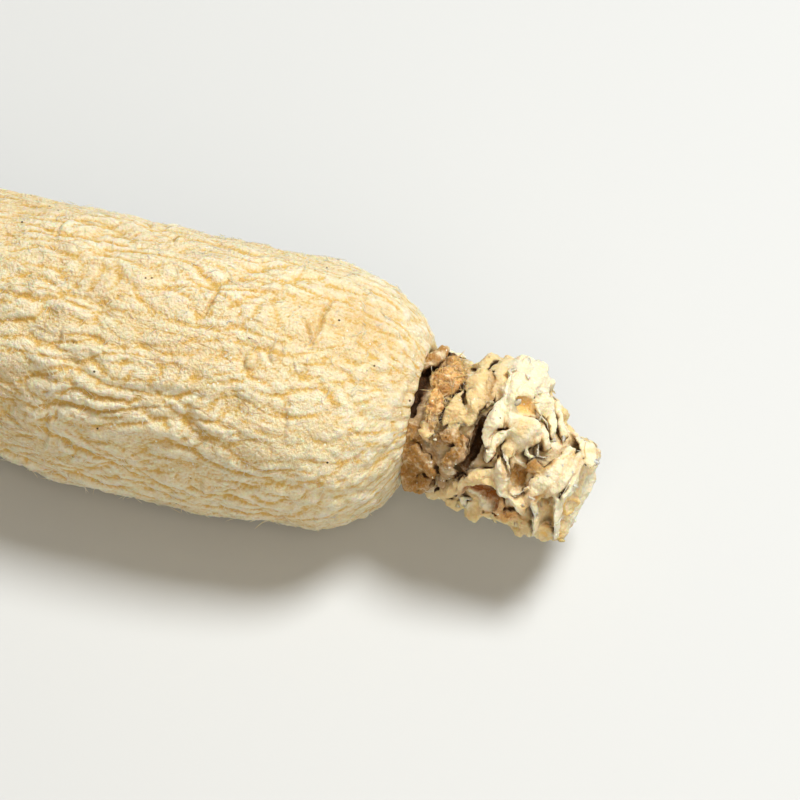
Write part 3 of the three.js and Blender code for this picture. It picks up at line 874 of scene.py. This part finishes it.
# Hollows: tone, radius, lift, path
CROWN_HOLLOWS = [
    ("umber", 0.80, 0.3, [(5.4, 5), (5.6, -12), (5.4, -32)]),
    ("umber", 0.72, -0.8, [(5.4, 4), (5.6, -12), (5.4, -30)]),
    ("umber", 0.55, -1.8, [(5.4, 0), (5.6, -12), (5.4, -24)]),
    ("umber", 0.42, 0.2, [(4.9, -28), (4.6, -40), (4.1, -52)]),
    ("rust", 1.00, 0.6, [(6.7, -49), (8.3, -47)]),
    ("rust", 0.80, -0.3, [(6.8, -49), (8.2, -47)]),
    ("umber", 0.40, -0.9, [(6.9, -47), (7.8, -45)]),
    ("grey", 0.80, 0.5, [(9.4, -9), (10.0, -16)]),
    ("grey", 0.75, -0.3, [(9.4, -10), (10.0, -16)]),
    ("gold", 0.48, 1.15, [(7.5, 33), (8.6, 36)]),
    ("gold", 0.50, 0.85, [(12.1, -18), (12.8, -42), (13.4, -78)]),
    ("umber", 0.40, 0.5, [(2.2, -2), (2.6, -5)]),
    ("umber", 0.50, 0.3, [(1.8, -25), (2.4, -24)]),
    ("umber", 0.36, 0.3, [(-1.1, 66), (-0.9, 36), (-0.5, 2)]),
    ("umber", 0.34, -0.3, [(-1.1, 66), (-0.9, 36), (-0.4, 2)]),
    ("umber", 0.30, 0.2, [(-0.3, 20), (-0.1, 8), (0.1, -4)]),
    ("grey", 0.18, 0.6, [(2.3, 66), (2.6, 44), (3.0, 20)]),
    ("grey", 0.18, 0.7, [(4.2, 50), (4.5, 32), (5.0, 12)]),
    ("gold", 0.20, 0.9, [(5.0, 52), (5.1, 38)]),
    ("gold", 0.20, 0.5, [(8.5, 56), (9.0, 47), (9.9, 37)]),
    ("gold", 0.18, 0.5, [(9.1, 66), (9.9, 56)]),
    ("umber", 0.25, 0.4, [(3.3, -62), (3.8, -55)]),
    ("umber", 0.28, 0.3, [(8.6, -58), (9.0, -58)]),
    ("umber", 0.22, 0.3, [(11.4, 5), (11.6, 5)]),
    ("umber", 0.90, 0.4, [(4.5, 166), (4.6, 172)]),
    ("umber", 0.80, 0.4, [(9.3, 206), (9.4, 212)]),
]
# Knobs round the back, in rings from the neck to the end, and leaves round the end
KNOB_RINGS = 7
KNOBS_IN_RING = 6
KNOB_HALF = 1.15
KNOB_SPACING = 1.9
KNOB_FIRST_ANGLE = 106
KNOB_TURN = 28
KNOB_LIFT = 0.1
END_LEAVES = 7
LEAF_FIRST_ANGLE = 78
LEAF_TURN = 34
LEAF_HALF_WIDTH = 1.0
LEAF_HALF_HEIGHT = 0.45


def crown_swing(along):
    return CROWN_SWING * np.exp(-(((along - CROWN_SWING_AT) / CROWN_SWING_SPAN) ** 2))


def crown_radius(along):
    near = NECK_RADIUS + (CROWN_RADIUS - NECK_RADIUS) * smoothstep(along, 0, CROWN_SWING_AT)
    fall = smoothstep(along, CROWN_SWING_AT, CROWN_LENGTH)
    return np.where(along < CROWN_SWING_AT, near, CROWN_RADIUS + (CROWN_END_RADIUS - CROWN_RADIUS) * fall)


def crown_points(path, lift):
    along, degrees = np.array(path, float).T
    radius = crown_radius(along) + lift
    turn = np.radians(degrees)
    side = crown_swing(along) + radius * np.sin(turn)
    return np.stack([along, radius * np.cos(turn), side], -1)


def smooth_path(points, steps=5):
    """A rounder path through the points of a crown fold."""
    if len(points) < 3:
        return points
    at = np.arange(len(points))
    fine = np.linspace(0, len(points) - 1, (len(points) - 1) * steps + 1)
    fit = np.polyfit(at, points, min(3, len(points) - 1))
    return np.stack([np.polyval(fit[:, k], fine) for k in range(3)], -1)


def window(points, reach):
    low = np.floor((points.min(0) - reach - FIELD_LOW) / FIELD_STEP).astype(int)
    high = np.ceil((points.max(0) + reach - FIELD_LOW) / FIELD_STEP).astype(int)
    return tuple(slice(max(a, 0), max(b, 1)) for a, b in zip(low, high))


def local_axes(where):
    a, f, w = (axis[part] for axis, part in zip(FIELD_AXES, where))
    return a[:, None, None], f[None, :, None], w[None, None, :]


def fold_distance(where, points, half_width, half_height, taper):
    """Roughly the distance to a fold that narrows towards its ends."""
    a, f, w = local_axes(where)
    pieces = len(points) - 1
    nearest = FAR
    for k, (p, q) in enumerate(zip(points[:-1], points[1:])):
        length = np.linalg.norm(q - p)
        ahead = (q - p) / length
        out = np.array([0, p[1] + q[1], p[2] + q[2] - 2 * crown_swing((p[0] + q[0]) / 2)])
        out /= np.linalg.norm(out)
        x, y, z = a - p[0], f - p[1], w - p[2]
        run = x * ahead[0] + y * ahead[1] + z * ahead[2]
        t = np.clip(run, 0, length)
        rise = x * out[0] + y * out[1] + z * out[2] - t * (ahead @ out)
        square = x**2 + y**2 + z**2 - 2 * t * run + t**2
        beside = np.maximum(square - rise**2, 0)
        share = (k + t / length) / pieces
        fullness = 1 - taper * (2 * share - 1) ** 2
        reach = np.sqrt(beside / half_width**2 + rise**2 / half_height**2) - fullness
        nearest = np.minimum(nearest, reach * min(half_width, half_height))
    return nearest


def nearness(first, second, blend):
    return np.clip(0.5 + 0.5 * (second - first) / blend, 0, 1)


def joined(first, second, blend):
    near = nearness(first, second, blend)
    return second * (1 - near) + first * near - blend * near * (1 - near)


def crown_field():
    """The field, negative inside, and how far each tone holds at each of its samples."""
    everywhere = tuple(slice(0, len(axis)) for axis in FIELD_AXES)
    a, f, w = local_axes(everywhere)
    core = np.hypot(f, w - crown_swing(a)) - FULL_CORE * crown_radius(np.maximum(a, 0))
    ahead, front, side = END_SCAR_FACING
    worn = (a - END_SCAR_AT[0]) * ahead + (f - END_SCAR_AT[1]) * front + (w - END_SCAR_AT[2]) * side
    field = np.maximum(core, np.maximum(a - CROWN_END_AT, worn)).astype(np.float32)
    paint = {tone: np.zeros(field.shape, np.float32) for tone in TONES}
    upper = smoothstep(w, -0.5, 1.5)
    # Painted shade: the neck under the crown is umber on its upper side
    paint["umber"] += smoothstep(a, 0.2, -0.5) * upper
    paint["grey"] += smoothstep(a, 4.0, 2.5) * (1 - upper) * smoothstep(f, -2, 2)

    def colour(where, kept, tone):
        for name, layer in paint.items():
            layer[where] = layer[where] * kept + (1 - kept if name == tone else 0)

    def grow(tone, half_width, half_height, lift, path):
        points = smooth_path(crown_points(path, lift - SINK * half_height))
        where = window(points, max(half_width, half_height) + REACH)
        fold = fold_distance(where, points, half_width, half_height, END_TAPER)
        colour(where, nearness(field[where], fold, TONE_BLEND), tone)
        field[where] = joined(field[where], fold, 0.06 + 0.16 * min(half_width, half_height))

    def hollow(tone, radius, lift, path):
        points = smooth_path(crown_points(path, lift - HOLLOW_SINK))
        where = window(points, radius + REACH)
        pit = fold_distance(where, points, radius, radius, HOLLOW_TAPER)
        colour(where, nearness(-field[where], pit, TONE_BLEND), tone)
        field[where] = -joined(-field[where], pit, HOLLOW_BLEND)

    for ring in range(KNOB_RINGS):
        for knob in range(KNOBS_IN_RING):
            vary = float(noise(ring + 0.4, knob + 0.6, 0.5))
            along = 1.0 + KNOB_SPACING * ring + 0.6 * vary
            degrees = KNOB_FIRST_ANGLE + KNOB_TURN * (knob + 0.5 * (ring % 2)) + 10 * vary
            half = KNOB_HALF + 0.35 * vary
            path = [(along - 0.6, degrees - 10), (along + 0.6 + vary, degrees + 10)]
            grow("tan" if vary > 0 else "cream", half, half, KNOB_LIFT, path)
    for leaf in range(END_LEAVES):
        degrees = LEAF_FIRST_ANGLE + LEAF_TURN * leaf
        path = [(11.8, degrees), (12.8, degrees + 6), (13.8, degrees + 10)]
        grow("gold" if leaf % 2 else "cream", LEAF_HALF_WIDTH, LEAF_HALF_HEIGHT, KNOB_LIFT, path)
    for fold in CROWN_FOLDS:
        grow(*fold)
    for pit in CROWN_HOLLOWS:
        hollow(*pit)
    return field, paint


def surface_net(field):
    """Points, in field cells, and quads of the field's zero surface."""
    inside = field < 0
    cells = tuple(n - 1 for n in field.shape)
    total = np.zeros((*cells, 3), np.float32)
    count = np.zeros(cells, np.float32)
    shift = {corner: tuple(slice(o, o + n) for o, n in zip(corner, cells)) for corner in CORNERS}
    for axis in range(3):
        for corner in CORNERS:
            if corner[axis]:
                continue
            first = shift[corner]
            second = shift[corner[:axis] + (1,) + corner[axis + 1 :]]
            v0, v1 = field[first], field[second]
            crossed = inside[first] != inside[second]
            gap = np.where(crossed, v0 - v1, 1)
            part = np.where(crossed, v0 / gap, 0)
            count += crossed
            for k in range(3):
                total[..., k] += crossed * corner[k] + (part if k == axis else 0)
    active = count > 0
    index = np.full(cells, -1, np.int64)
    index[active] = np.arange(active.sum())
    points = np.argwhere(active) + total[active] / count[active][:, None]
    quads = []
    for axis in range(3):
        u, v = [(1, 2), (2, 0), (0, 1)][axis]
        low = [slice(1, -1)] * 3
        low[axis] = slice(0, -1)
        high = list(low)
        high[axis] = slice(1, None)
        first, second = inside[tuple(low)], inside[tuple(high)]
        at = np.argwhere(first != second)
        outward = first[tuple(at.T)]
        for k in (u, v):
            at[:, k] += 1
        corners = []
        for du, dv in ((-1, -1), (0, -1), (0, 0), (-1, 0)):
            cell = at.copy()
            cell[:, u] += du
            cell[:, v] += dv
            corners.append(index[tuple(cell.T)])
        quad = np.stack(corners, -1)
        quads.append(np.where(outward[:, None], quad, quad[:, ::-1]))
    return points, np.concatenate(quads)


def field_at(field, points):
    """The field at points given in field cells, between its samples."""
    limit = np.array(field.shape) - 2
    p = np.clip(points, 0, limit)
    low = np.floor(p).astype(int)
    part = p - low
    total = np.zeros(len(p))
    for corner in CORNERS:
        weight = np.ones(len(p))
        for bit, column in zip(corner, part.T):
            weight = weight * (column if bit else 1 - column)
        total += weight * field[tuple((low + corner).T)]
    return total


def gathered(index, vectors, count):
    """The sum of the vectors that belong to each index."""
    return np.stack([np.bincount(index, column, count) for column in vectors.T], -1)


def vertex_normals(points, quads):
    cross = np.cross(points[quads[:, 2]] - points[quads[:, 0]], points[quads[:, 3]] - points[quads[:, 1]])
    return unit(sum(gathered(corner, cross, len(points)) for corner in quads.T))


def relaxed(points, quads, share):
    """Each point moved towards the mean of its neighbours."""
    total = np.zeros(points.shape)
    count = np.zeros(len(points))
    for corner in range(4):
        a, b = quads[:, corner], quads[:, (corner + 1) % 4]
        for here, there in ((a, b), (b, a)):
            count += np.bincount(here, minlength=len(points))
            total += gathered(here, points[there], len(points))
    return points + share * (total / np.maximum(count, 1)[:, None] - points)


# Uneven growth of the crown: spacing and size of the swells that move it
CROWN_BENDS = ((2.4, 0.5), (1.1, 0.28), (0.55, 0.1))


def crown_bend(local):
    """Points of the crown's frame moved by the uneven growth of its folds."""
    a, f, w = local.T
    bent = local.copy()
    for spacing, size in CROWN_BENDS:
        for k in range(3):
            bent[:, k] += size * noise(a / spacing + 11 * k, f / spacing + 3, w / spacing - 7 * k)
    return bent


FIBROUS_TO = 2.4  # the brown lump beside the shoulder, whose skin is drawn into fibres
SMOOTHING = (0.5, -0.52)  # a step towards the mean of the neighbours, and one back
SHADE_REACHES = ((0.5, 0.35), (1.1, 0.4), (2.0, 0.25))  # distance looked out to, and its weight
DEEP_SHADE = (0.65, 1.0)  # shade from which a hollow darkens, and at which it is darkest
UMBER_SHADE = (0.3, 0.65)
CREASE_SHADE = (0.3, 0.8)
CREASE_TOP = 0.85
PAPERY = 1.3  # spacings of the crown's fine relief
CRUMPLE = 0.62
GRAIN = 0.26
CROWN_RELIEF = (0.16, 0.13, 0.09, 0.07)  # heights of papery folds, crumples, grain and flakes
FIBRE_RELIEF = 0.3


def crown_surface():
    """Points in the crown's frame, quads, outward directions and the values that colour them."""
    field, paint = crown_field()
    cells, quads = surface_net(field)
    for share in SMOOTHING:
        cells = relaxed(cells, quads, share)
    normal = vertex_normals(cells, quads)
    shade = np.zeros(len(cells))
    for distance, weight in SHADE_REACHES:
        seen = field_at(field, cells + normal * distance / FIELD_STEP)
        shade += weight * np.clip((distance - seen) / distance, 0, 1.5)
    values = {tone: field_at(layer, cells) for tone, layer in paint.items()}
    # Painted shade in the crown's hidden places: near-black where most hidden, more in its umber hollows,
    # gold crease colour where half hidden, less of both in its gold and rust hollows
    lit = (1 - 0.85 * values["gold"]) * (1 - 0.7 * values["rust"])
    dim = smoothstep(shade, *DEEP_SHADE) + 0.9 * values["umber"] * smoothstep(shade, *UMBER_SHADE)
    values["deep"] = lit * np.clip(dim, 0, 1)
    values["crease_tint_and_shade"] = lit * CREASE_TOP * smoothstep(shade, *CREASE_SHADE)
    local = FIELD_LOW + cells * FIELD_STEP
    a, f, w = local.T
    # Painted shade in the socket round the foot of the crown, on its upper side
    within = smoothstep(np.hypot(f, w), NECK_RADIUS + 0.3, NECK_RADIUS - 0.3)
    in_socket = smoothstep(a, 0.1, -0.6) * within
    values["deep"] = np.clip(values["deep"] + in_socket * smoothstep(w, -1, 1), 0, 1)
    bent = crown_bend(local)
    rough = 0.75 + 0.6 * (values["grey"] + values["amber"] + values["umber"]) + 0.15 * values["tan"]
    papery = 0.2 - np.abs(noise(a / PAPERY, f / PAPERY, w / PAPERY + 20))
    crumple = 0.2 - np.abs(noise(a / CRUMPLE + 4, f / CRUMPLE, w / CRUMPLE))
    grain = noise(a / GRAIN, f / GRAIN, w / GRAIN)
    fibres = values["amber"] * smoothstep(a, FIBROUS_TO + 0.6, FIBROUS_TO - 0.4)
    strands = noise(a / 0.9, f / 0.22, w / 0.9)
    flaky = chips(a / 0.9, f / 0.6, w / 0.6)
    relief = sum(size * layer for size, layer in zip(CROWN_RELIEF, (papery, crumple, grain, flaky)))
    height = rough * relief + FIBRE_RELIEF * fibres * strands
    from_scar = local - END_SCAR_AT
    above = from_scar @ END_SCAR_FACING
    on_end = smoothstep(np.abs(above), 0.3, 0.1)
    ring = np.linalg.norm(from_scar - above[:, None] * END_SCAR_FACING, axis=1) - END_SCAR_RING
    scar = on_end * np.exp(-((ring / END_SCAR_HALF) ** 2))
    bent += normal * (height + END_SCAR_HEIGHT * scar)[:, None]
    values["gold"] = np.clip(values["gold"] + on_end * (0.4 + 0.55 * scar), 0, 1)
    # Painted light: the crown is paler wherever it is not shaded
    values["pale_and_highlight"] = 0.7 * (1 - values["crease_tint_and_shade"]) * (1 - 0.6 * values["tan"])
    return bent, quads, normal, values


def build_crown():
    bent, quads, normal, values = crown_surface()
    points = CROWN_BASE + bent @ CROWN_AXES
    outward = vertex_normals(points, quads)
    front = normal[quads].mean(1)[:, 1] + bent[quads].mean(1)[:, 1] / CROWN_RADIUS > 0
    for name, chosen in (("crown_front", front), ("crown_back", ~front)):
        used, faces = np.unique(quads[chosen], return_inverse=True)
        kept = {key: value[used] for key, value in values.items()}
        faces = faces.reshape(-1, 4)
        piece = mesh_object(name, points[used], faces, np.zeros((0, 3), int), kept, CROWN_SKIN)
        piece.data.normals_split_custom_set_from_vertices(outward[used])
    return points, outward, values


CROWN_POINTS, CROWN_NORMALS, CROWN_VALUES = build_crown()

# Fibres, flakes and lint: short tapered strands that lie on the surface or stand up from it
STRAND_RINGS = 5
STRAND_SIDES = 4
STRAND_TIP = 0.12  # thickness of its tips, as a share of its middle
STRAND_OFF = 0.02


def strands_mesh(name, paths, outward, half_width, half_thickness, values, material):
    """One mesh of closed strands along these paths, wide across and thin outwards."""
    count = len(paths)
    ahead = unit(np.gradient(paths, axis=1))
    side = unit(np.cross(ahead, outward[:, None]))
    up = np.cross(side, ahead)
    share = np.linspace(0, 1, STRAND_RINGS)
    taper = np.maximum(STRAND_TIP, np.sqrt(1 - (2 * share - 1) ** 2))[None, :, None, None]
    turn = 2 * np.pi * np.arange(STRAND_SIDES) / STRAND_SIDES
    wide = half_width[:, None, None, None] * taper * np.cos(turn)[None, None, :, None]
    thin = half_thickness[:, None, None, None] * taper * np.sin(turn)[None, None, :, None]
    points = paths[:, :, None] + wide * side[:, :, None] + thin * up[:, :, None]
    per_strand = STRAND_RINGS * STRAND_SIDES
    one = grid_faces(STRAND_RINGS, STRAND_SIDES)
    corner = np.arange(1, STRAND_SIDES - 1)
    first = np.stack([np.zeros_like(corner), corner, corner + 1], -1)
    last = first[:, ::-1] + per_strand - STRAND_SIDES
    start = (np.arange(count) * per_strand)[:, None, None]
    quads = (one[None] + start).reshape(-1, 4)
    caps = (np.concatenate([first, last])[None] + start).reshape(-1, 3)
    spread = {key: np.repeat(value, per_strand) for key, value in values.items()}
    mesh_object(name, points.reshape(-1, 3), quads, caps, spread, material)


def lying_paths(random, points, outward, heading, length, lift, curl):
    """Curved paths from these points along a heading, rising by lift towards their far end."""
    count = len(points)
    along = unit(heading - outward * np.sum(heading * outward, -1, keepdims=True))
    across = np.cross(outward, along)
    share = np.linspace(0, 1, STRAND_RINGS)[None, :, None]
    bend = curl * random.standard_normal(count)[:, None, None]
    reach = length[:, None, None] * share
    rise = STRAND_OFF + lift[:, None, None] * share**2
    drawn = points[:, None] + along[:, None] * reach + across[:, None] * bend * reach * share
    return drawn + outward[:, None] * rise


def crown_strands():
    random = np.random.default_rng(17)
    tones = {key: CROWN_VALUES[key] for key in TONES}
    local = (CROWN_POINTS - CROWN_BASE) @ CROWN_AXES.T
    tangled = np.flatnonzero((CROWN_VALUES["amber"] > 0.5) & (local[:, 0] < FIBROUS_TO))
    open_skin = np.flatnonzero((CROWN_VALUES["deep"] < 0.1) & (local[:, 0] > 0.3))
    # name, where it grows, count, and ranges of length, half width, half thickness and lift
    kinds = (
        ("crown_fibres", tangled, 220, (0.7, 1.7), (0.03, 0.05), (0.03, 0.05), (0.05, 0.5)),
        ("crown_flakes", open_skin, 260, (0.3, 0.9), (0.08, 0.26), (0.02, 0.03), (0.05, 0.35)),
        ("crown_spikes", open_skin, 260, (0.12, 0.4), (0.02, 0.04), (0.02, 0.03), (0.15, 0.5)),
    )
    for name, where, count, length, width, thickness, lift in kinds:
        chosen = random.choice(where, count)
        outward = CROWN_NORMALS[chosen]
        heading = unit(random.standard_normal((count, 3))) + 0.9 * CROWN_AXIS
        reach = random.uniform(*length, count)
        rise = random.uniform(*lift, count)
        paths = lying_paths(random, CROWN_POINTS[chosen], outward, heading, reach, rise, 0.35)
        values = {key: value[chosen] for key, value in tones.items()}
        values["pale_and_highlight"] = random.uniform(0.2, 1, count)
        half_width = random.uniform(*width, count)
        half_thickness = random.uniform(*thickness, count)
        strands_mesh(name, paths, outward, half_width, half_thickness, values, CROWN_SKIN)


# Papery rims that stand on the crown: tone, half height, lift, path
PAPER_THICK = 0.035
PAPER_RIMS = [
    ("white", 0.30, 0.35, [(8.2, -2), (8.8, -6), (9.2, -14)]),
    ("white", 0.26, 0.30, [(9.7, -26), (10.4, -23), (10.9, -15)]),
    ("white", 0.26, 0.45, [(9.4, 15), (10.0, 10), (10.7, 14)]),
    ("white", 0.26, 0.45, [(10.1, 22), (10.8, 17), (11.5, 21)]),
    ("white", 0.22, 0.40, [(8.9, 7), (9.4, 3), (10.1, 5)]),
    ("white", 0.34, 0.50, [(11.6, -20), (11.95, -34), (12.5, -62)]),
    ("white", 0.34, 0.50, [(13.0, -12), (13.5, -30), (14.1, -62)]),
    ("white", 0.25, 0.35, [(5.7, -64), (6.2, -70), (6.8, -66)]),
    ("gold", 0.40, 0.40, [(12.6, 64), (13.4, 48), (13.9, 28)]),
    ("white", 0.35, 0.40, [(13.3, 30), (13.6, 4), (13.3, -20)]),
    ("white", 0.22, 0.55, [(5.1, 50), (5.2, 42), (5.5, 34)]),
    ("white", 0.20, 0.45, [(8.6, 52), (9.2, 44), (10.0, 36)]),
]


def rim_points(path, lift):
    """Evenly spaced points along a rim, in millimetres of the part's frame."""
    fine = smooth_path(crown_points(path, lift), 10)
    at = np.linspace(0, len(fine) - 1, STRAND_RINGS)
    local = np.stack([np.interp(at, np.arange(len(fine)), fine[:, k]) for k in range(3)], -1)
    return CROWN_BASE + crown_bend(local) @ CROWN_AXES


def paper_rims():
    paths = np.stack([rim_points(path, lift) for _, _, lift, path in PAPER_RIMS])
    radial = paths[:, STRAND_RINGS // 2] - CROWN_BASE
    radial = radial - CROWN_AXIS * (radial @ CROWN_AXIS)[:, None]
    across = unit(np.cross(paths[:, -1] - paths[:, 0], radial))
    height = np.array([rim[1] for rim in PAPER_RIMS])
    thick = np.full(len(PAPER_RIMS), PAPER_THICK)
    values = {"pale_and_highlight": np.ones(len(PAPER_RIMS))}
    for tone in ("white", "gold"):
        values[tone] = np.array([float(rim[0] == tone) for rim in PAPER_RIMS])
    strands_mesh("paper_rims", paths, across, height, thick, values, CROWN_SKIN)


# Longer hairs on the root: distance from the shoulder, angle, length, lift
ROOT_HAIRS = [(11.1, 212, 1.3, 1.0), (10.8, 38, 0.6, 0.6), (24.0, 128, 1.6, 0.1), (5.0, 118, 1.2, 0.1)]
HAIR_HALF = 0.06
LINT_HALF = 0.03
LINT_COUNT = 3000
LINT_ROWS = slice(60, -5)  # rows of the skin that lint grows on, clear of the crown and the trimmed end
LINT_CLEAR = 1.5  # lint grows only this far above the resting flat


def root_lint():
    random = np.random.default_rng(29)
    columns = SKIN_GRID.shape[1]
    along = ORIGIN_AT - SKIN_GRID[:, 0, 0]
    row = [int(np.argmin(np.abs(along - hair[0]))) for hair in ROOT_HAIRS]
    column = [int(hair[1] / 360 * columns) for hair in ROOT_HAIRS]
    clear = np.argwhere(SKIN_GRID[LINT_ROWS, :, 2] > LINT_CLEAR) + (LINT_ROWS.start, 0)
    chosen = clear[random.integers(0, len(clear), LINT_COUNT)]
    row = np.append(row, chosen[:, 0])
    column = np.append(column, chosen[:, 1])
    length = np.append([hair[2] for hair in ROOT_HAIRS], random.uniform(0.15, 0.55, LINT_COUNT) ** 2 * 4)
    lift = np.append([hair[3] for hair in ROOT_HAIRS], random.uniform(0.02, 0.14, LINT_COUNT))
    total = len(row)
    outward = SKIN_NORMALS[row, column]
    heading = unit(random.standard_normal((total, 3)))
    paths = lying_paths(random, SKIN_GRID[row, column], outward, heading, length, lift, 0.5)
    half = np.append(np.full(len(ROOT_HAIRS), HAIR_HALF), np.full(LINT_COUNT, LINT_HALF))
    strands_mesh("root_lint", paths, outward, half, half, {"pale_and_highlight": np.ones(total)}, SKIN)


crown_strands()
paper_rims()
root_lint()

# Camera at the photograph's viewing angle
CAMERA_AZIMUTH = math.radians(14.6)
CAMERA_ELEVATION = math.radians(54)
CAMERA_ROLL = math.radians(1.0)
CAMERA_LENS = 270.0
CAMERA_SENSOR = 36.0
PIXELS_PER_MM = 12.0
IMAGE_SIDE = 800.0
SHOULDER_RIGHT = 32.0  # pixels from the middle of the image to the shoulder
SHOULDER_BELOW = 9.0


def place_camera():
    back = Vector((
        math.sin(CAMERA_AZIMUTH) * math.cos(CAMERA_ELEVATION),
        -math.cos(CAMERA_AZIMUTH) * math.cos(CAMERA_ELEVATION),
        math.sin(CAMERA_ELEVATION),
    ))
    level = Vector((math.cos(CAMERA_AZIMUTH), math.sin(CAMERA_AZIMUTH), 0))
    right = level * math.cos(CAMERA_ROLL) + back.cross(level) * math.sin(CAMERA_ROLL)
    up = back.cross(right)
    shoulder = Vector(root_axis(np.array(0.0)))
    sideways = right * (SHOULDER_RIGHT / PIXELS_PER_MM)
    upward = up * (SHOULDER_BELOW / PIXELS_PER_MM)
    target = (shoulder - sideways + upward) * MM
    distance = IMAGE_SIDE / PIXELS_PER_MM * CAMERA_LENS / CAMERA_SENSOR * MM
    data = bpy.data.cameras.new("camera")
    data.lens = CAMERA_LENS
    data.sensor_width = CAMERA_SENSOR
    data.clip_start = 0.01
    camera = bpy.data.objects.new("camera", data)
    turn = Matrix((right, up, back)).transposed().to_4x4()
    camera.matrix_world = Matrix.Translation(target + back * distance) @ turn
    bpy.context.scene.collection.objects.link(camera)
    bpy.context.scene.camera = camera


place_camera()

# Floor and light: name, place, width, power and colour of each lamp
LAMPS = (
    ("key", (0.18, 0.14, 0.46), 0.2, 2.95, (1, 0.98, 0.94)),
    ("fill", (0.2, -0.4, 0.4), 0.5, 1.6, (1, 0.86, 0.68)),
)
LAMP_TARGET = Vector((0.02, 0, 0.01))
FLOOR_HALF = 3.0
FLOOR_COLOR = (0.565, 0.595, 0.62, 1)
WORLD_COLOR = (1, 0.92, 0.80, 1)
WORLD_STRENGTH = 0.22


def area_light(name, location, side, power, color):
    data = bpy.data.lights.new(name, "AREA")
    data.shape = "DISK"
    data.size = side
    data.energy = power
    data.color = color
    lamp = bpy.data.objects.new(name, data)
    lamp.location = location
    lamp.rotation_mode = "QUATERNION"
    lamp.rotation_quaternion = (LAMP_TARGET - Vector(location)).to_track_quat("-Z", "Y")
    bpy.context.scene.collection.objects.link(lamp)


def studio():
    mesh = bpy.data.meshes.new("floor")
    corners = [(x * FLOOR_HALF, y * FLOOR_HALF, 0) for x, y in ((-1, -1), (1, -1), (1, 1), (-1, 1))]
    mesh.from_pydata(corners, [], [(0, 1, 2, 3)])
    floor = bpy.data.objects.new("floor", mesh)
    bpy.context.scene.collection.objects.link(floor)
    material = bpy.data.materials.new("pale_floor")
    material.use_nodes = True
    shader = material.node_tree.nodes["Principled BSDF"]
    shader.inputs["Base Color"].default_value = FLOOR_COLOR
    shader.inputs["Roughness"].default_value = 0.7
    mesh.materials.append(material)
    for lamp in LAMPS:
        area_light(*lamp)
    world = bpy.data.worlds.new("studio")
    world.use_nodes = True
    background = world.node_tree.nodes["Background"]
    background.inputs["Color"].default_value = WORLD_COLOR
    background.inputs["Strength"].default_value = WORLD_STRENGTH
    bpy.context.scene.world = world
    bpy.context.scene.view_settings.view_transform = "Standard"


studio()
